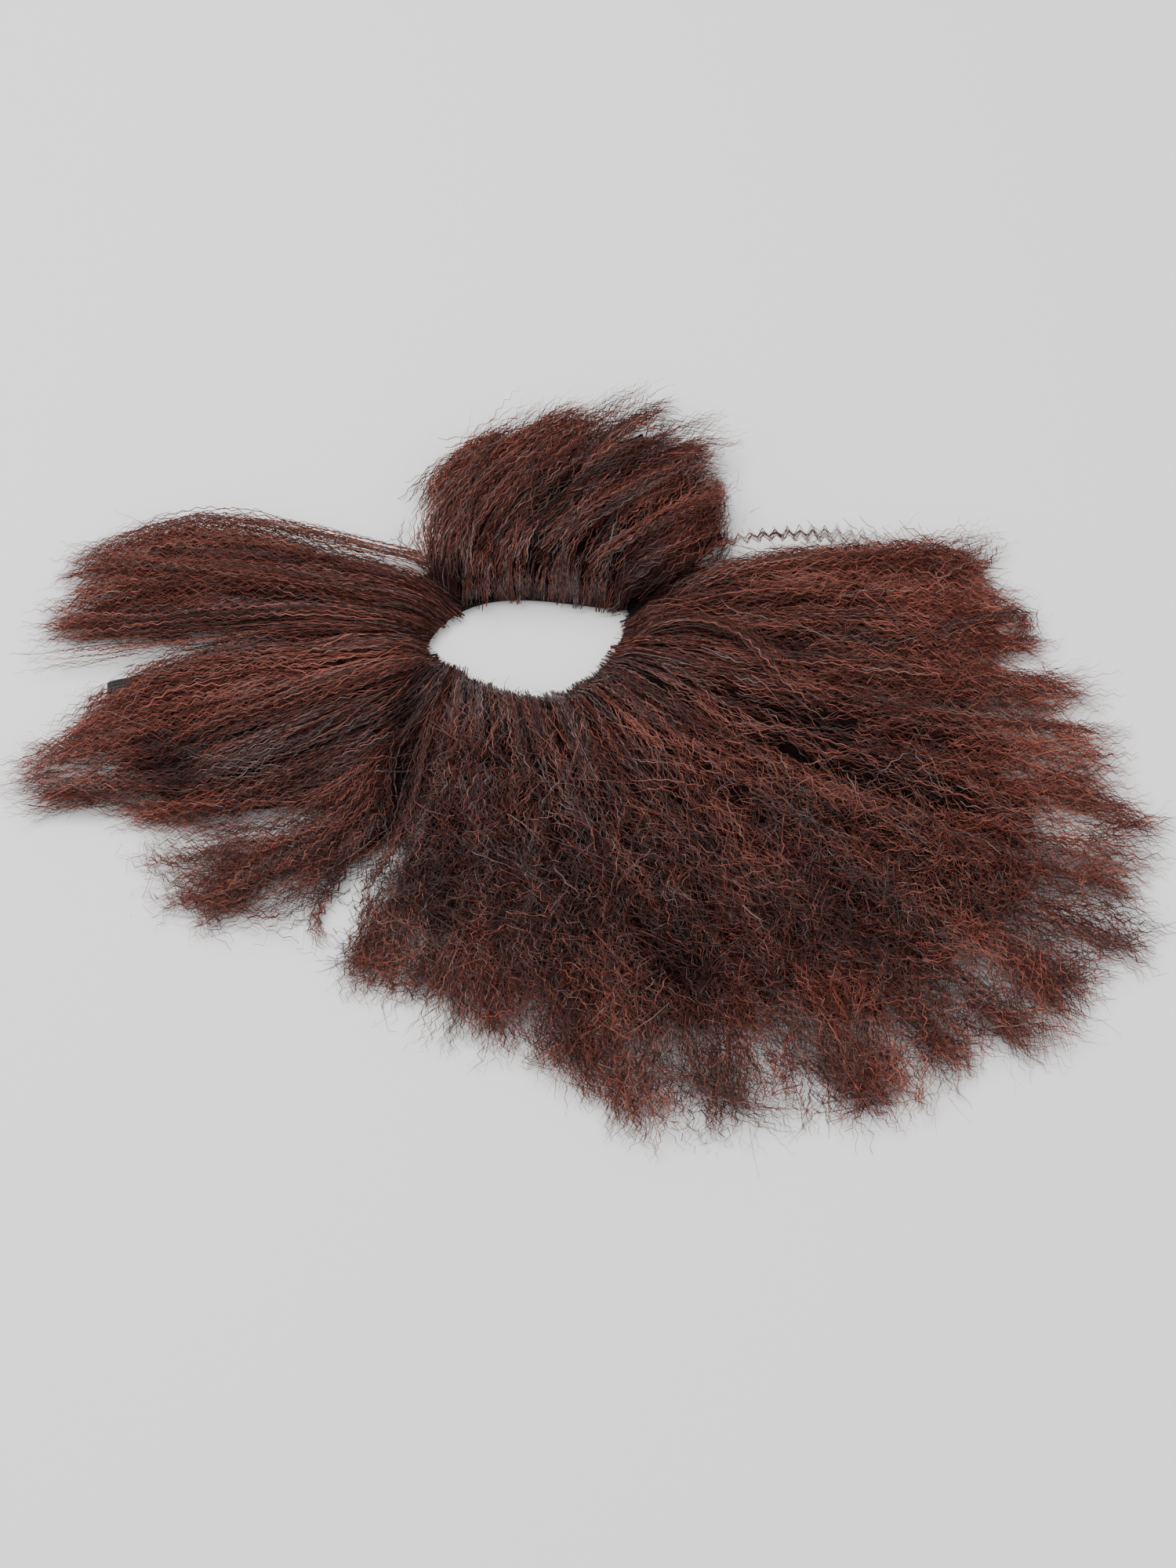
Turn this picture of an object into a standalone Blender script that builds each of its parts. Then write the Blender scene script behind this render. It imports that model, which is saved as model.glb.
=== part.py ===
"""Fake beard of crimped hair, laid flat with its hair side up.

Sizes are in millimetres in the tables and in metres in the scene.
X runs along the mouth opening, Y towards the moustache, Z up.
"""

import math

import bmesh
import bpy
from mathutils import Vector

MM = 0.001

# Mouth opening: a lens between two corners.
MOUTH_LEFT = (-36.5, 5.4)
MOUTH_RIGHT = (40.0, 7.6)
UPPER_RISE = 15.5
UPPER_SKEW = 0.64
LOWER_DROP = 30.0
LOWER_SKEW = 1.2

# Cloth base.
BASE_Z = 1.7
BASE_THICK = 2.0
BASE_STEPS = 56

# Outer edge of the base: share of the way round the mouth, then the place.
BASE_EDGE = [
    {"round": 0.00, "x": -70.0, "y": 9.0},
    {"round": 0.10, "x": -62.0, "y": 24.0},
    {"round": 0.30, "x": -34.0, "y": 38.0},
    {"round": 0.50, "x": 2.0, "y": 38.0},
    {"round": 0.72, "x": 40.0, "y": 31.0},
    {"round": 0.92, "x": 72.0, "y": 19.0},
    {"round": 1.00, "x": 83.0, "y": 6.0},
    {"round": 1.08, "x": 80.0, "y": -10.0},
    {"round": 1.25, "x": 52.0, "y": -44.0},
    {"round": 1.50, "x": 8.0, "y": -64.0},
    {"round": 1.75, "x": -40.0, "y": -46.0},
    {"round": 1.92, "x": -65.0, "y": -9.0},
]

# Elastic strap: place of its middle line, half width and heading of its width.
STRAP_THICK = 1.2
STRAP_HALF = 9.0
STRAP_RUN = [
    {"x": -56.0, "y": 9.2, "z": 0.7, "side": 90.0, "lean": 0.0},
    {"x": -75.0, "y": 9.3, "z": 0.7, "side": 90.0, "lean": 0.0},
    {"x": -89.0, "y": 9.4, "z": 2.2, "side": 90.0, "lean": 0.0},
    {"x": -140.0, "y": 9.4, "z": 2.2, "side": 89.0, "lean": 0.0},
    {"x": -151.0, "y": 9.4, "z": 2.2, "side": 81.7, "lean": 0.0},
    {"x": -152.1, "y": 9.3, "z": 2.0, "side": 81.7, "lean": 45.0},
    {"x": -152.6, "y": 9.2, "z": 1.45, "side": 81.7, "lean": 90.0},
    {"x": -152.1, "y": 9.1, "z": 0.8, "side": 81.7, "lean": 135.0},
    {"x": -151.0, "y": 9.0, "z": 0.6, "side": 81.7, "lean": 180.0},
    {"x": -140.0, "y": 6.0, "z": 0.6, "side": 74.0, "lean": 180.0},
    {"x": -90.0, "y": -9.0, "z": 0.6, "side": 73.0, "lean": 180.0},
    {"x": -50.0, "y": -22.0, "z": 0.6, "side": 73.0, "lean": 180.0},
    {"x": -20.0, "y": -32.0, "z": 0.6, "side": 77.0, "lean": 180.0},
    {"x": 8.0, "y": -37.0, "z": 0.6, "side": 90.0, "lean": 180.0},
    {"x": 36.0, "y": -33.0, "z": 0.6, "side": 110.0, "lean": 180.0},
    {"x": 60.0, "y": -18.0, "z": 0.6, "side": 130.0, "lean": 180.0},
    {"x": 76.0, "y": 0.0, "z": 0.6, "side": 138.0, "lean": 180.0},
]

# Hair: every bundle fans out between partings that leave the mouth's rim.
ROOT_OFFSET = 1.2
SEAM_GAP = 0.45
EDGE_THICK = 0.8

# Where the folded strap lies double, the hair's bed stays above it.
DOUBLE_STRAP = {"left": -166.0, "right": -78.0, "low": -6.0, "high": 25.0, "bed": 3.2}
TIP_THICK = 0.9
VALLEY = 0.5
FREE_VALLEY = 0.12
FLANKS = 4
STATIONS = (0.0, 0.05, 0.12, 0.22, 0.34, 0.48, 0.62, 0.76, 0.89, 1.0)

# A parting: its root on the rim, the heading there, its end and the heading there.
PARTING = ("round", "leave", "end_x", "end_y", "arrive")
# A lock between two partings: how far its tip sticks out, to which side, and its height.
LOCK = ("out", "lean", "height")

BUNDLES = [
    {
        "name": "moustache_hair",
        "free": (True, True),
        "swell": (0.35, 0.85, 1.0, 1.05, 1.0, 0.95, 0.85, 0.7, 0.5, 0.2),
        "bed": (4.1, 4.1, 4.1, 4.1, 4.1, 4.1, 4.1, 3.0, 1.5, 0.0),
        "partings": [
            (0.240, 152, -14, 88, 36),
            (0.420, 114, 22, 93, 36),
            (0.610, 96, 54, 88, 40),
            (0.790, 74, 79, 76, 24),
            (0.915, 36, 88, 62, 30),
            (0.972, 10, 85, 38, 98),
        ],
        "locks": [
            (9, 0.1, 21),
            (18, 0.9, 26),
            (20, 0.6, 28),
            (11, 0.2, 24),
            (6, -0.3, 20),
        ],
    },
    {
        "name": "left_cheek_hair",
        "free": (False, True),
        "swell": (0.4, 0.8, 1.0, 1.0, 0.95, 0.85, 0.75, 0.65, 0.5, 0.25),
        "bed": (4.1, 4.1, 4.1, 4.1, 4.1, 4.1, 3.4, 3.4, 1.5, 0.0),
        "partings": [
            (0.015, 164, -160, 31, -180),
            (0.100, 158, -164, 49, -178),
            (0.160, 148, -158, 66, -178),
            (0.216, 133, -150, 80, -158),
        ],
        "locks": [
            (10, -0.2, 13),
            (12, 0.2, 15),
            (7, 0.4, 12),
        ],
    },
    {
        "name": "left_jaw_hair",
        "free": (False, False),
        "swell": (0.4, 0.8, 1.0, 1.0, 0.95, 0.9, 0.8, 0.65, 0.5, 0.25),
        "bed": (4.1, 4.1, 4.1, 4.1, 4.1, 4.1, 3.6, 3.6, 2.5, 0.0),
        "partings": [
            (1.910, -110, -124, -51, 157),
            (1.930, -120, -158, -36, 168),
            (1.952, -142, -183, -20, 180),
            (1.975, -172, -166, -2, -164),
            (1.998, 161, -156, 11, -148),
        ],
        "locks": [
            (10, 0.2, 11),
            (20, 0.6, 15),
            (14, -0.4, 16),
            (6, -0.2, 14),
        ],
    },
    {
        "name": "left_under_lock",
        "free": (True, False),
        "swell": (0.35, 0.7, 0.9, 1.0, 1.0, 1.0, 0.9, 0.8, 0.6, 0.3),
        "bed": (4.1, 4.1, 4.1, 4.1, 4.1, 1.7, 1.7, 1.0, 0.4, 0.0),
        "partings": [
            (1.872, -99, -130, -90, 136),
            (1.889, -103, -142, -72, 136),
            (1.905, -107, -146, -51, 151),
        ],
        "locks": [
            (10, 0.0, 8),
            (10, 0.3, 8),
        ],
    },
    {
        "name": "chin_hair",
        "free": (False, True),
        "swell": (0.35, 0.75, 0.95, 1.0, 1.05, 1.0, 0.9, 0.75, 0.5, 0.2),
        "bed": (4.1, 4.1, 4.1, 4.1, 4.1, 2.0, 1.0, 0.4, 0.0, 0.0),
        "partings": [
            (1.420, -85, 58, -190, -72),
            (1.525, -92, 18, -190, -88),
            (1.633, -95, -16, -174, -98),
            (1.723, -99, -39, -152, -108),
            (1.800, -101, -62, -134, -122),
            (1.868, -104, -90, -116, -134),
        ],
        "locks": [
            (16, 0.2, 22),
            (16, 0.0, 24),
            (10, 0.2, 23),
            (14, 0.1, 20),
            (10, 0.3, 16),
        ],
    },
    {
        "name": "right_jaw_hair",
        "free": (False, False),
        "swell": (0.35, 0.75, 0.95, 1.0, 1.05, 1.0, 0.9, 0.75, 0.5, 0.2),
        "bed": (4.1, 4.1, 4.1, 4.1, 4.1, 2.0, 1.0, 0.4, 0.0, 0.0),
        "partings": [
            (1.200, -58, 186, -140, -26),
            (1.250, -64, 157, -178, -50),
            (1.298, -70, 118, -192, -66),
            (1.347, -78, 82, -202, -80),
            (1.420, -85, 60, -191, -72),
        ],
        "locks": [
            (16, 0.3, 20),
            (13, 0.1, 22),
            (13, -0.2, 22),
            (13, 0.0, 20),
        ],
    },
    {
        "name": "right_cheek_hair",
        "free": (True, False),
        "swell": (0.4, 0.8, 1.0, 1.0, 1.0, 0.95, 0.85, 0.7, 0.5, 0.25),
        "bed": (4.1, 4.1, 4.1, 4.1, 4.1, 3.0, 1.2, 0.6, 0.2, 0.0),
        "partings": [
            (1.001, 23, 167, 10, -12),
            (1.022, 6, 168, -7, -16),
            (1.045, -10, 170, -27, -18),
            (1.072, -20, 172, -49, -16),
            (1.112, -32, 182, -71, -14),
            (1.156, -46, 190, -107, -22),
            (1.200, -58, 187, -139, -26),
        ],
        "locks": [
            (8, -0.4, 11),
            (12, 0.0, 14),
            (12, 0.0, 14),
            (22, 0.4, 15),
            (14, 0.2, 16),
            (18, 0.6, 18),
        ],
    },
]

FINISHES = {
    "base_cloth": {"color": (0.012, 0.011, 0.012), "rough": 0.9},
    "elastic": {"color": (0.010, 0.010, 0.011), "rough": 0.8},
    "hair": {"color": (0.095, 0.032, 0.024), "rough": 0.55},
}


def clear_scene():
    """Remove every object that the scene starts with."""
    for obj in list(bpy.data.objects):
        bpy.data.objects.remove(obj, do_unlink=True)


def finish(name):
    """Return the material of that name, made on first use."""
    mat = bpy.data.materials.get(name)
    if mat is None:
        mat = bpy.data.materials.new(name)
        mat.use_nodes = True
        shader = mat.node_tree.nodes["Principled BSDF"]
        shader.inputs["Base Color"].default_value = (*FINISHES[name]["color"], 1.0)
        shader.inputs["Roughness"].default_value = FINISHES[name]["rough"]
    return mat


def add_object(name, verts, faces, material):
    """Build a closed mesh object from corners in millimetres."""
    mesh = bpy.data.meshes.new(name)
    mesh.from_pydata([Vector(v) * MM for v in verts], [], faces)
    mesh.update()
    shell = bmesh.new()
    shell.from_mesh(mesh)
    bmesh.ops.recalc_face_normals(shell, faces=shell.faces)
    shell.to_mesh(mesh)
    shell.free()
    mesh.materials.append(finish(material))
    obj = bpy.data.objects.new(name, mesh)
    bpy.context.scene.collection.objects.link(obj)
    return obj


def mouth_point(share):
    """Point on the mouth's rim: 0 to 1 along the top, 1 to 2 back along the bottom."""
    share = share % 2.0
    if share <= 1.0:
        along = share
        wave = max(0.0, math.sin(math.pi * along ** UPPER_SKEW))
        bump = UPPER_RISE * wave ** 1.15
    else:
        along = 2.0 - share
        wave = max(0.0, math.sin(math.pi * along ** LOWER_SKEW))
        bump = -LOWER_DROP * wave ** 0.7
    x = MOUTH_LEFT[0] + (MOUTH_RIGHT[0] - MOUTH_LEFT[0]) * along
    y = MOUTH_LEFT[1] + (MOUTH_RIGHT[1] - MOUTH_LEFT[1]) * along + bump
    return Vector((x, y))


def root_point(share, offset):
    """Point beside the rim, moved outwards by the offset."""
    run = mouth_point(share + 0.01) - mouth_point(share - 0.01)
    run.normalize()
    return mouth_point(share) + Vector((-run.y, run.x)) * offset


def closed_spline(rows, spots):
    """Smooth closed curve through the rows, read at the spots."""
    count = len(rows)
    points = []
    for spot in spots:
        index = max(i for i in range(count) if rows[i]["round"] <= spot + 1e-9)
        before, here = rows[index - 1], rows[index]
        after, last = rows[(index + 1) % count], rows[(index + 2) % count]
        span = (after["round"] - here["round"]) % 2.0
        t = (spot - here["round"]) / span
        corners = [Vector((r["x"], r["y"])) for r in (before, here, after, last)]
        points.append(
            0.5
            * (
                2.0 * corners[1]
                + (corners[2] - corners[0]) * t
                + (2.0 * corners[0] - 5.0 * corners[1] + 4.0 * corners[2] - corners[3]) * t * t
                + (3.0 * corners[1] - corners[0] - 3.0 * corners[2] + corners[3]) * t ** 3
            )
        )
    return points


def make_backing():
    """Cloth base: a flat ring from the mouth's rim to the outer edge."""
    spots = [2.0 * i / BASE_STEPS for i in range(BASE_STEPS)]
    outer = closed_spline(BASE_EDGE, spots)
    inner = [mouth_point(s) for s in spots]
    verts = []
    for height in (BASE_Z, BASE_Z + BASE_THICK):
        for ring in (inner, outer):
            verts += [(p.x, p.y, height) for p in ring]
    faces = []
    for i in range(BASE_STEPS):
        j = (i + 1) % BASE_STEPS
        low_in, low_out, top_in, top_out = (k * BASE_STEPS for k in range(4))
        faces.append((low_in + i, low_out + i, low_out + j, low_in + j))
        faces.append((top_in + i, top_in + j, top_out + j, top_out + i))
        faces.append((low_in + i, low_in + j, top_in + j, top_in + i))
        faces.append((low_out + i, top_out + i, top_out + j, low_out + j))
    add_object("backing", verts, faces, "base_cloth")


def make_strap():
    """Elastic band swept along its run, folded over once at the left."""
    verts = []
    for row in STRAP_RUN:
        side = math.radians(row["side"])
        across = Vector((math.cos(side), math.sin(side), 0.0)) * STRAP_HALF
        lean = math.radians(row["lean"])
        outwards = Vector((-math.sin(side), math.cos(side), 0.0))
        thick = Vector((0.0, 0.0, math.cos(lean))) + outwards * math.sin(lean)
        thick *= STRAP_THICK / 2.0
        middle = Vector((row["x"], row["y"], row["z"]))
        verts += [
            middle - across - thick,
            middle + across - thick,
            middle + across + thick,
            middle - across + thick,
        ]
    count = len(verts) // 4
    faces = [(3, 2, 1, 0), tuple(4 * (count - 1) + k for k in range(4))]
    for i in range(count - 1):
        for k in range(4):
            m = (k + 1) % 4
            faces.append((4 * i + k, 4 * i + m, 4 * i + 4 + m, 4 * i + 4 + k))
    add_object("elastic_strap", verts, faces, "elastic")


def flow(row, share):
    """Point of a parting at a share of its length."""
    start = root_point(row["round"], ROOT_OFFSET)
    end = Vector((row["end_x"], row["end_y"]))
    reach = (end - start).length
    leave = math.radians(row["leave"])
    arrive = math.radians(row["arrive"])
    pull_start = Vector((math.cos(leave), math.sin(leave))) * reach
    pull_end = Vector((math.cos(arrive), math.sin(arrive))) * reach
    square = share ** 2
    cube = share ** 3
    return (
        (2.0 * cube - 3.0 * square + 1.0) * start
        + (cube - 2.0 * square + share) * pull_start
        + (3.0 * square - 2.0 * cube) * end
        + (cube - square) * pull_end
    )


def bundle_grid(bundle):
    """Plan places, ridge heights and bed heights of a bundle, column by column."""
    partings = [dict(zip(PARTING, row)) for row in bundle["partings"]]
    locks = [dict(zip(LOCK, row)) for row in bundle["locks"]]
    last = len(locks) * FLANKS
    columns = []
    for column in range(last + 1):
        index = min(column // FLANKS, len(locks) - 1)
        across = column / FLANKS - index
        lock = locks[index]
        left, right = partings[index], partings[index + 1]
        bulge = math.sin(math.pi * across)
        turn = (right["arrive"] - left["arrive"] + 180) % 360 - 180
        heading = math.radians(left["arrive"] + turn * across)
        ahead = Vector((math.cos(heading), math.sin(heading)))
        reach = lock["out"] * max(0.0, 1.0 - abs(2.0 * across - 1.0 + 0.5 * lock["lean"] * bulge))
        valley = VALLEY
        if column == 0 and bundle["free"][0] or column == last and bundle["free"][1]:
            valley = FREE_VALLEY
        rows = []
        for share, swell, bed in zip(STATIONS, bundle["swell"], bundle["bed"]):
            spot = flow(left, share).lerp(flow(right, share), across)
            spot = spot + ahead * reach * share ** 3
            bed = max(bed, strap_bed(spot))
            ridge = valley + (1.0 - valley) * bulge ** 0.7
            tall = max(EDGE_THICK, lock["height"] * swell * ridge - bed)
            rows.append([spot, bed, bed + tall])
        rows[-1][2] = rows[-1][1] + TIP_THICK
        columns.append(rows)
    inset_sides(columns)
    return columns


def strap_bed(spot):
    """Bed height that the folded strap asks for at a place in plan."""
    zone = DOUBLE_STRAP
    inside = zone["left"] < spot.x < zone["right"] and zone["low"] < spot.y < zone["high"]
    return zone["bed"] if inside else 0.0


def inset_sides(columns):
    """Pull the two outer columns in, so that neighbours keep a small gap."""
    for edge, inner in ((0, 1), (-1, -2)):
        for row in range(len(STATIONS)):
            before = columns[edge][max(row - 1, 0)][0]
            after = columns[edge][min(row + 1, len(STATIONS) - 1)][0]
            run = (after - before).normalized()
            side = Vector((-run.y, run.x))
            if side.dot(columns[inner][row][0] - columns[edge][row][0]) < 0.0:
                side = -side
            columns[edge][row][0] = columns[edge][row][0] + side * SEAM_GAP / 2.0


def make_bundle(bundle):
    """One bundle of fused locks as a closed, ridged fan."""
    columns = bundle_grid(bundle)
    wide, deep = len(columns), len(STATIONS)
    verts = []
    for level in (1, 2):
        for rows in columns:
            verts += [(spot[0].x, spot[0].y, spot[level]) for spot in rows]
    faces = []
    top = wide * deep
    for i in range(wide - 1):
        for j in range(deep - 1):
            a, b = i * deep + j, (i + 1) * deep + j
            faces.append((a, a + 1, b + 1, b))
            faces.append((top + a, top + b, top + b + 1, top + a + 1))
    for j in range(deep - 1):
        faces.append((j, top + j, top + j + 1, j + 1))
        k = (wide - 1) * deep + j
        faces.append((k, k + 1, top + k + 1, top + k))
    for i in range(wide - 1):
        a, b = i * deep, (i + 1) * deep
        faces.append((a, b, top + b, top + a))
        a, b = a + deep - 1, b + deep - 1
        faces.append((a, top + a, top + b, b))
    add_object(bundle["name"], verts, faces, "hair")


def centre_on_floor():
    """Move everything so that the box stands centred on the floor."""
    spots = [v.co for obj in bpy.data.objects for v in obj.data.vertices]
    low = Vector([min(s[k] for s in spots) for k in range(3)])
    high = Vector([max(s[k] for s in spots) for k in range(3)])
    shift = Vector(((low.x + high.x) / 2.0, (low.y + high.y) / 2.0, low.z))
    for obj in bpy.data.objects:
        for vert in obj.data.vertices:
            vert.co -= shift
        obj.data.update()


def main():
    """Build the beard."""
    clear_scene()
    make_backing()
    make_strap()
    for bundle in BUNDLES:
        make_bundle(bundle)
    centre_on_floor()


if __name__ == "__main__":
    main()
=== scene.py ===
"""Fake beard of crimped auburn hair on a black cloth base with an elastic strap.

The beard lies flat on a pale floor with its hair side up. Sizes in the tables are in
millimetres from the middle of the mouth opening: X along the opening, Y towards the
moustache, Z up from the floor.
"""

import logging
import math
from dataclasses import dataclass, field, replace
from enum import Enum

import bpy
import numpy as np
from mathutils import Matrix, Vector


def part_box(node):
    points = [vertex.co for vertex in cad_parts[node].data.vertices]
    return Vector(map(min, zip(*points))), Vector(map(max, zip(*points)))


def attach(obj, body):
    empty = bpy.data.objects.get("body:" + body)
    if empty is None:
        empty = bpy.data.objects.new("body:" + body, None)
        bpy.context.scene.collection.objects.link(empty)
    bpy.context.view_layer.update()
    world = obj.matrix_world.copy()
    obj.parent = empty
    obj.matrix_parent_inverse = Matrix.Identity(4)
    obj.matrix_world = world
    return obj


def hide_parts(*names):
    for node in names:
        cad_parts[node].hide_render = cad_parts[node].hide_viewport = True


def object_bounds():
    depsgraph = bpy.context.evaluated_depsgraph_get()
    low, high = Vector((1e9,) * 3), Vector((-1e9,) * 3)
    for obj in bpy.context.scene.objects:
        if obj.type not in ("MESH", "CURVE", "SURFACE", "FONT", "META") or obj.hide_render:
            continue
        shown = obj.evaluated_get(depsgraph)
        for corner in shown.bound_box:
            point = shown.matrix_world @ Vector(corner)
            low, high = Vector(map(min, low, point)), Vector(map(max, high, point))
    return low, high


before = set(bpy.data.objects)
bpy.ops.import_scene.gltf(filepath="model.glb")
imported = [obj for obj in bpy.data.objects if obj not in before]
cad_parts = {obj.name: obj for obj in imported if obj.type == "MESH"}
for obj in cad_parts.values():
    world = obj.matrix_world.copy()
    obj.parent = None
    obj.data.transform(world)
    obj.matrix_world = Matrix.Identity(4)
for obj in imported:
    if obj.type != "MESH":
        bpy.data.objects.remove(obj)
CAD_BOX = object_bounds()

log = logging.getLogger("beard")
MM = 0.001
BODY = "root"
TINT_MAP = "OFBake"

# spread of the tint from strand to strand, and the painted glint that makes the knots of one strand lighter
# and darker in turn
NOISE = 0.23
GLINT = 0.19
# how far a loose strand may reach past the solids, in metres
LOOSE_REACH = 0.016
# steepest angle of a strand to its tuft, in degrees, and length of the slow sway
MOST_FAN = 48.0
SWAY_LENGTH = 90.0
# distance over which a line's direction is read
LOOK_AHEAD = 2.0
# half the width of a strand on its map
MAP_HALF = 0.003
# share of thinning from which the under-hair is bare
BARE = 0.3
# samples along a long tuft, a short patch, the hair at the rim and a tress
LONG_SAMPLES = 70
PATCH_SAMPLES = 16
RIM_SAMPLES = 24
TRESS_SAMPLES = 90
# rows of the under-hair, and depth of its lower face above the bed
CORE_ROWS = 20
CORE_LIFT = 0.1
# points of the base's outline in the part's source
BASE_POINTS = 56


class Shade(Enum):
    """Named bands of the hair's tint scale, as (start, width)."""

    # near black: painted shade deep in the hair mass under the strands
    CORE_SHADE = (0.01, 0.03)
    # dark brown-black fibres, greying at the light end to painted sheen
    ASH_AND_SHEEN = (0.08, 0.36)
    AUBURN = (0.52, 0.36)


@dataclass(frozen=True)
class Rim:
    """The mouth opening's edge: a lens between two corners."""

    left: tuple[float, float] = (-36.5, 5.4)
    right: tuple[float, float] = (40.0, 7.6)
    upper_rise: float = 15.5
    upper_skew: float = 0.64
    lower_drop: float = 30.0
    lower_skew: float = 1.2

    def point(self, share: float) -> np.ndarray:
        """Point of the edge.

        Args:
            share: 0 to 1 along the top from left to right, 1 to 2 back along the bottom.

        Returns:
            The point in plan.
        """
        share = share % 2.0
        if share <= 1.0:
            along = share
            wave = max(0.0, math.sin(math.pi * along**self.upper_skew))
            bump = self.upper_rise * wave**1.15
        else:
            along = 2.0 - share
            wave = max(0.0, math.sin(math.pi * along**self.lower_skew))
            bump = -self.lower_drop * wave**0.7
        start, end = np.array(self.left), np.array(self.right)
        spot = start + (end - start) * along
        spot[1] += bump
        return spot

    def beside(self, share: float, offset: float) -> np.ndarray:
        """Point beside the edge, moved outwards.

        Args:
            share: place round the edge.
            offset: distance outwards.

        Returns:
            The point in plan.
        """
        run = self.point(share + 0.01) - self.point(share - 0.01)
        run /= np.linalg.norm(run)
        return self.point(share) + np.array([-run[1], run[0]]) * offset


@dataclass(frozen=True)
class Parting:
    """A line that the hair follows: its root on the rim, its end, and the headings there."""

    round: float
    leave: float
    end_x: float
    end_y: float
    arrive: float

    def flow(self, rim: Rim, shares: np.ndarray, offset: float, grip: float) -> np.ndarray:
        """Points along the parting.

        Args:
            rim: the mouth opening's edge.
            shares: shares of the length, 0 at the root and 1 at the end.
            offset: distance of the root from the edge.
            grip: how long the hair keeps the heading of its root.

        Returns:
            One plan point for each share.
        """
        start = rim.beside(self.round, offset)
        end = np.array([self.end_x, self.end_y])
        reach = float(np.linalg.norm(end - start))
        pull_start = grip * reach * heading(self.leave)
        pull_end = reach * heading(self.arrive)
        s = np.minimum(shares, 1.0)[:, None]
        inside = (
            (2.0 * s**3 - 3.0 * s**2 + 1.0) * start
            + (s**3 - 2.0 * s**2 + s) * pull_start
            + (3.0 * s**2 - 2.0 * s**3) * end
            + (s**3 - s**2) * pull_end
        )
        beyond = np.maximum(shares - 1.0, 0.0)[:, None]
        return inside + beyond * pull_end


@dataclass(frozen=True)
class Lock:
    """The hair between two partings: how far its tip sticks out, to which side, its height."""

    out: float
    lean: float
    height: float


@dataclass(frozen=True)
class Wave:
    """The crimp of a strand: its length, its swing at the root and tip, and how loose it is."""

    length: float = 5.0
    root: float = 0.35
    tip: float = 0.9
    upright: float = 60.0
    loose: float = 0.2


@dataclass(frozen=True)
class Tuft:
    """Strands that run together along one centre line."""

    strands: int = 15
    radius: float = 3.0
    wave: Wave = field(default_factory=Wave)
    frizz: float = 1.0
    curl: float = 5.0
    ash: float = 0.4
    light: float = 0.5
    width: float = 0.34
    trim: float = 0.07
    splay: float = 1.4
    pinch: float = 0.45
    fan: float = 1.5
    span: tuple[float, float] = (0.0, 1.0)


@dataclass(frozen=True)
class HairStyle:
    """How a bundle's hair is made up from tufts."""

    tufts: int = 90
    tuft: Tuft = field(default_factory=Tuft)
    flyaway: float = 0.02
    shortest: float = 0.78
    longest: float = 1.03
    sweep: float = 0.0
    roots: int = 60
    core_end: float = 0.80
    thatch: int = 500
    fray: float = 25.0
    patch: tuple[float, float] = (18.0, 42.0)
    bury: float = 0.0
    stretch: float = 1.0
    root_run: tuple[float, float] = (0.14, 0.34)


@dataclass(frozen=True)
class Tress:
    """A single lock that lies on a bundle: its path, thickness and hair."""

    path: tuple[tuple[float, float, float], ...]
    radius: float = 3.6
    tufts: int = 3
    strands: int = 13
    light: float = 0.42
    ash: float = 0.15
    curl: float = 4.0
    swing: float = 0.7
    frizz: float = 0.8
    crimp: float = 5.0
    loose: float = 0.2
    upright: float = 60.0
    width: float = 0.34


@dataclass(frozen=True)
class Tone:
    """A soft oval place in plan where the hair is lighter, greyer, deeper or thinner."""

    x: float
    y: float
    long: float
    wide: float
    turn: float
    light: float = 0.0
    ash: float = 0.0
    sink: float = 0.0
    thin: float = 0.0

    def weight(self, x: np.ndarray, y: np.ndarray) -> np.ndarray:
        """How much of the tone each place gets.

        Args:
            x: places along the mouth opening.
            y: places towards the moustache.

        Returns:
            Weights from 0 to 1.
        """
        along = heading(self.turn)
        u = ((x - self.x) * along[0] + (y - self.y) * along[1]) / self.long
        v = ((y - self.y) * along[0] - (x - self.x) * along[1]) / self.wide
        return np.exp(-(u**4) - v**2)


def heading(degrees: float) -> np.ndarray:
    """Unit vector in plan for a heading in degrees."""
    turn = math.radians(degrees)
    return np.array([math.cos(turn), math.sin(turn)])


def smooth_path(points: np.ndarray, count: int) -> np.ndarray:
    """Smooth open curve through a few points.

    Args:
        points: the points, one per row.
        count: how many samples to return.

    Returns:
        Samples evenly spread over the stretches between the points.
    """
    ends = np.vstack([2 * points[0] - points[1], points, 2 * points[-1] - points[-2]])
    where = np.linspace(0.0, len(points) - 1.0001, count)
    at = where.astype(int)
    t = (where - at)[:, None]
    a, b, c, d = ends[at], ends[at + 1], ends[at + 2], ends[at + 3]
    bend = (2 * a - 5 * b + 4 * c - d) * t**2 + (3 * b - a - 3 * c + d) * t**3
    return 0.5 * (2 * b + (c - a) * t + bend)


def add_mesh(name: str, verts: np.ndarray, quads: np.ndarray) -> bpy.types.Object:
    """Make a mesh object of four-sided faces.

    Args:
        name: the object's name.
        verts: corners in metres, one per row.
        quads: four corner numbers per row.

    Returns:
        The new object, linked to the scene and shaded smooth.
    """
    mesh = bpy.data.meshes.new(name)
    mesh.vertices.add(len(verts))
    mesh.vertices.foreach_set("co", np.asarray(verts, np.float32).ravel())
    mesh.loops.add(quads.size)
    mesh.loops.foreach_set("vertex_index", np.asarray(quads, np.int32).ravel())
    mesh.polygons.add(len(quads))
    mesh.polygons.foreach_set("loop_start", np.arange(len(quads), dtype=np.int32) * 4)
    mesh.update(calc_edges=True)
    mesh.polygons.foreach_set("use_smooth", np.ones(len(quads), bool))
    obj = bpy.data.objects.new(name, mesh)
    bpy.context.scene.collection.objects.link(obj)
    return obj


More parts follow.
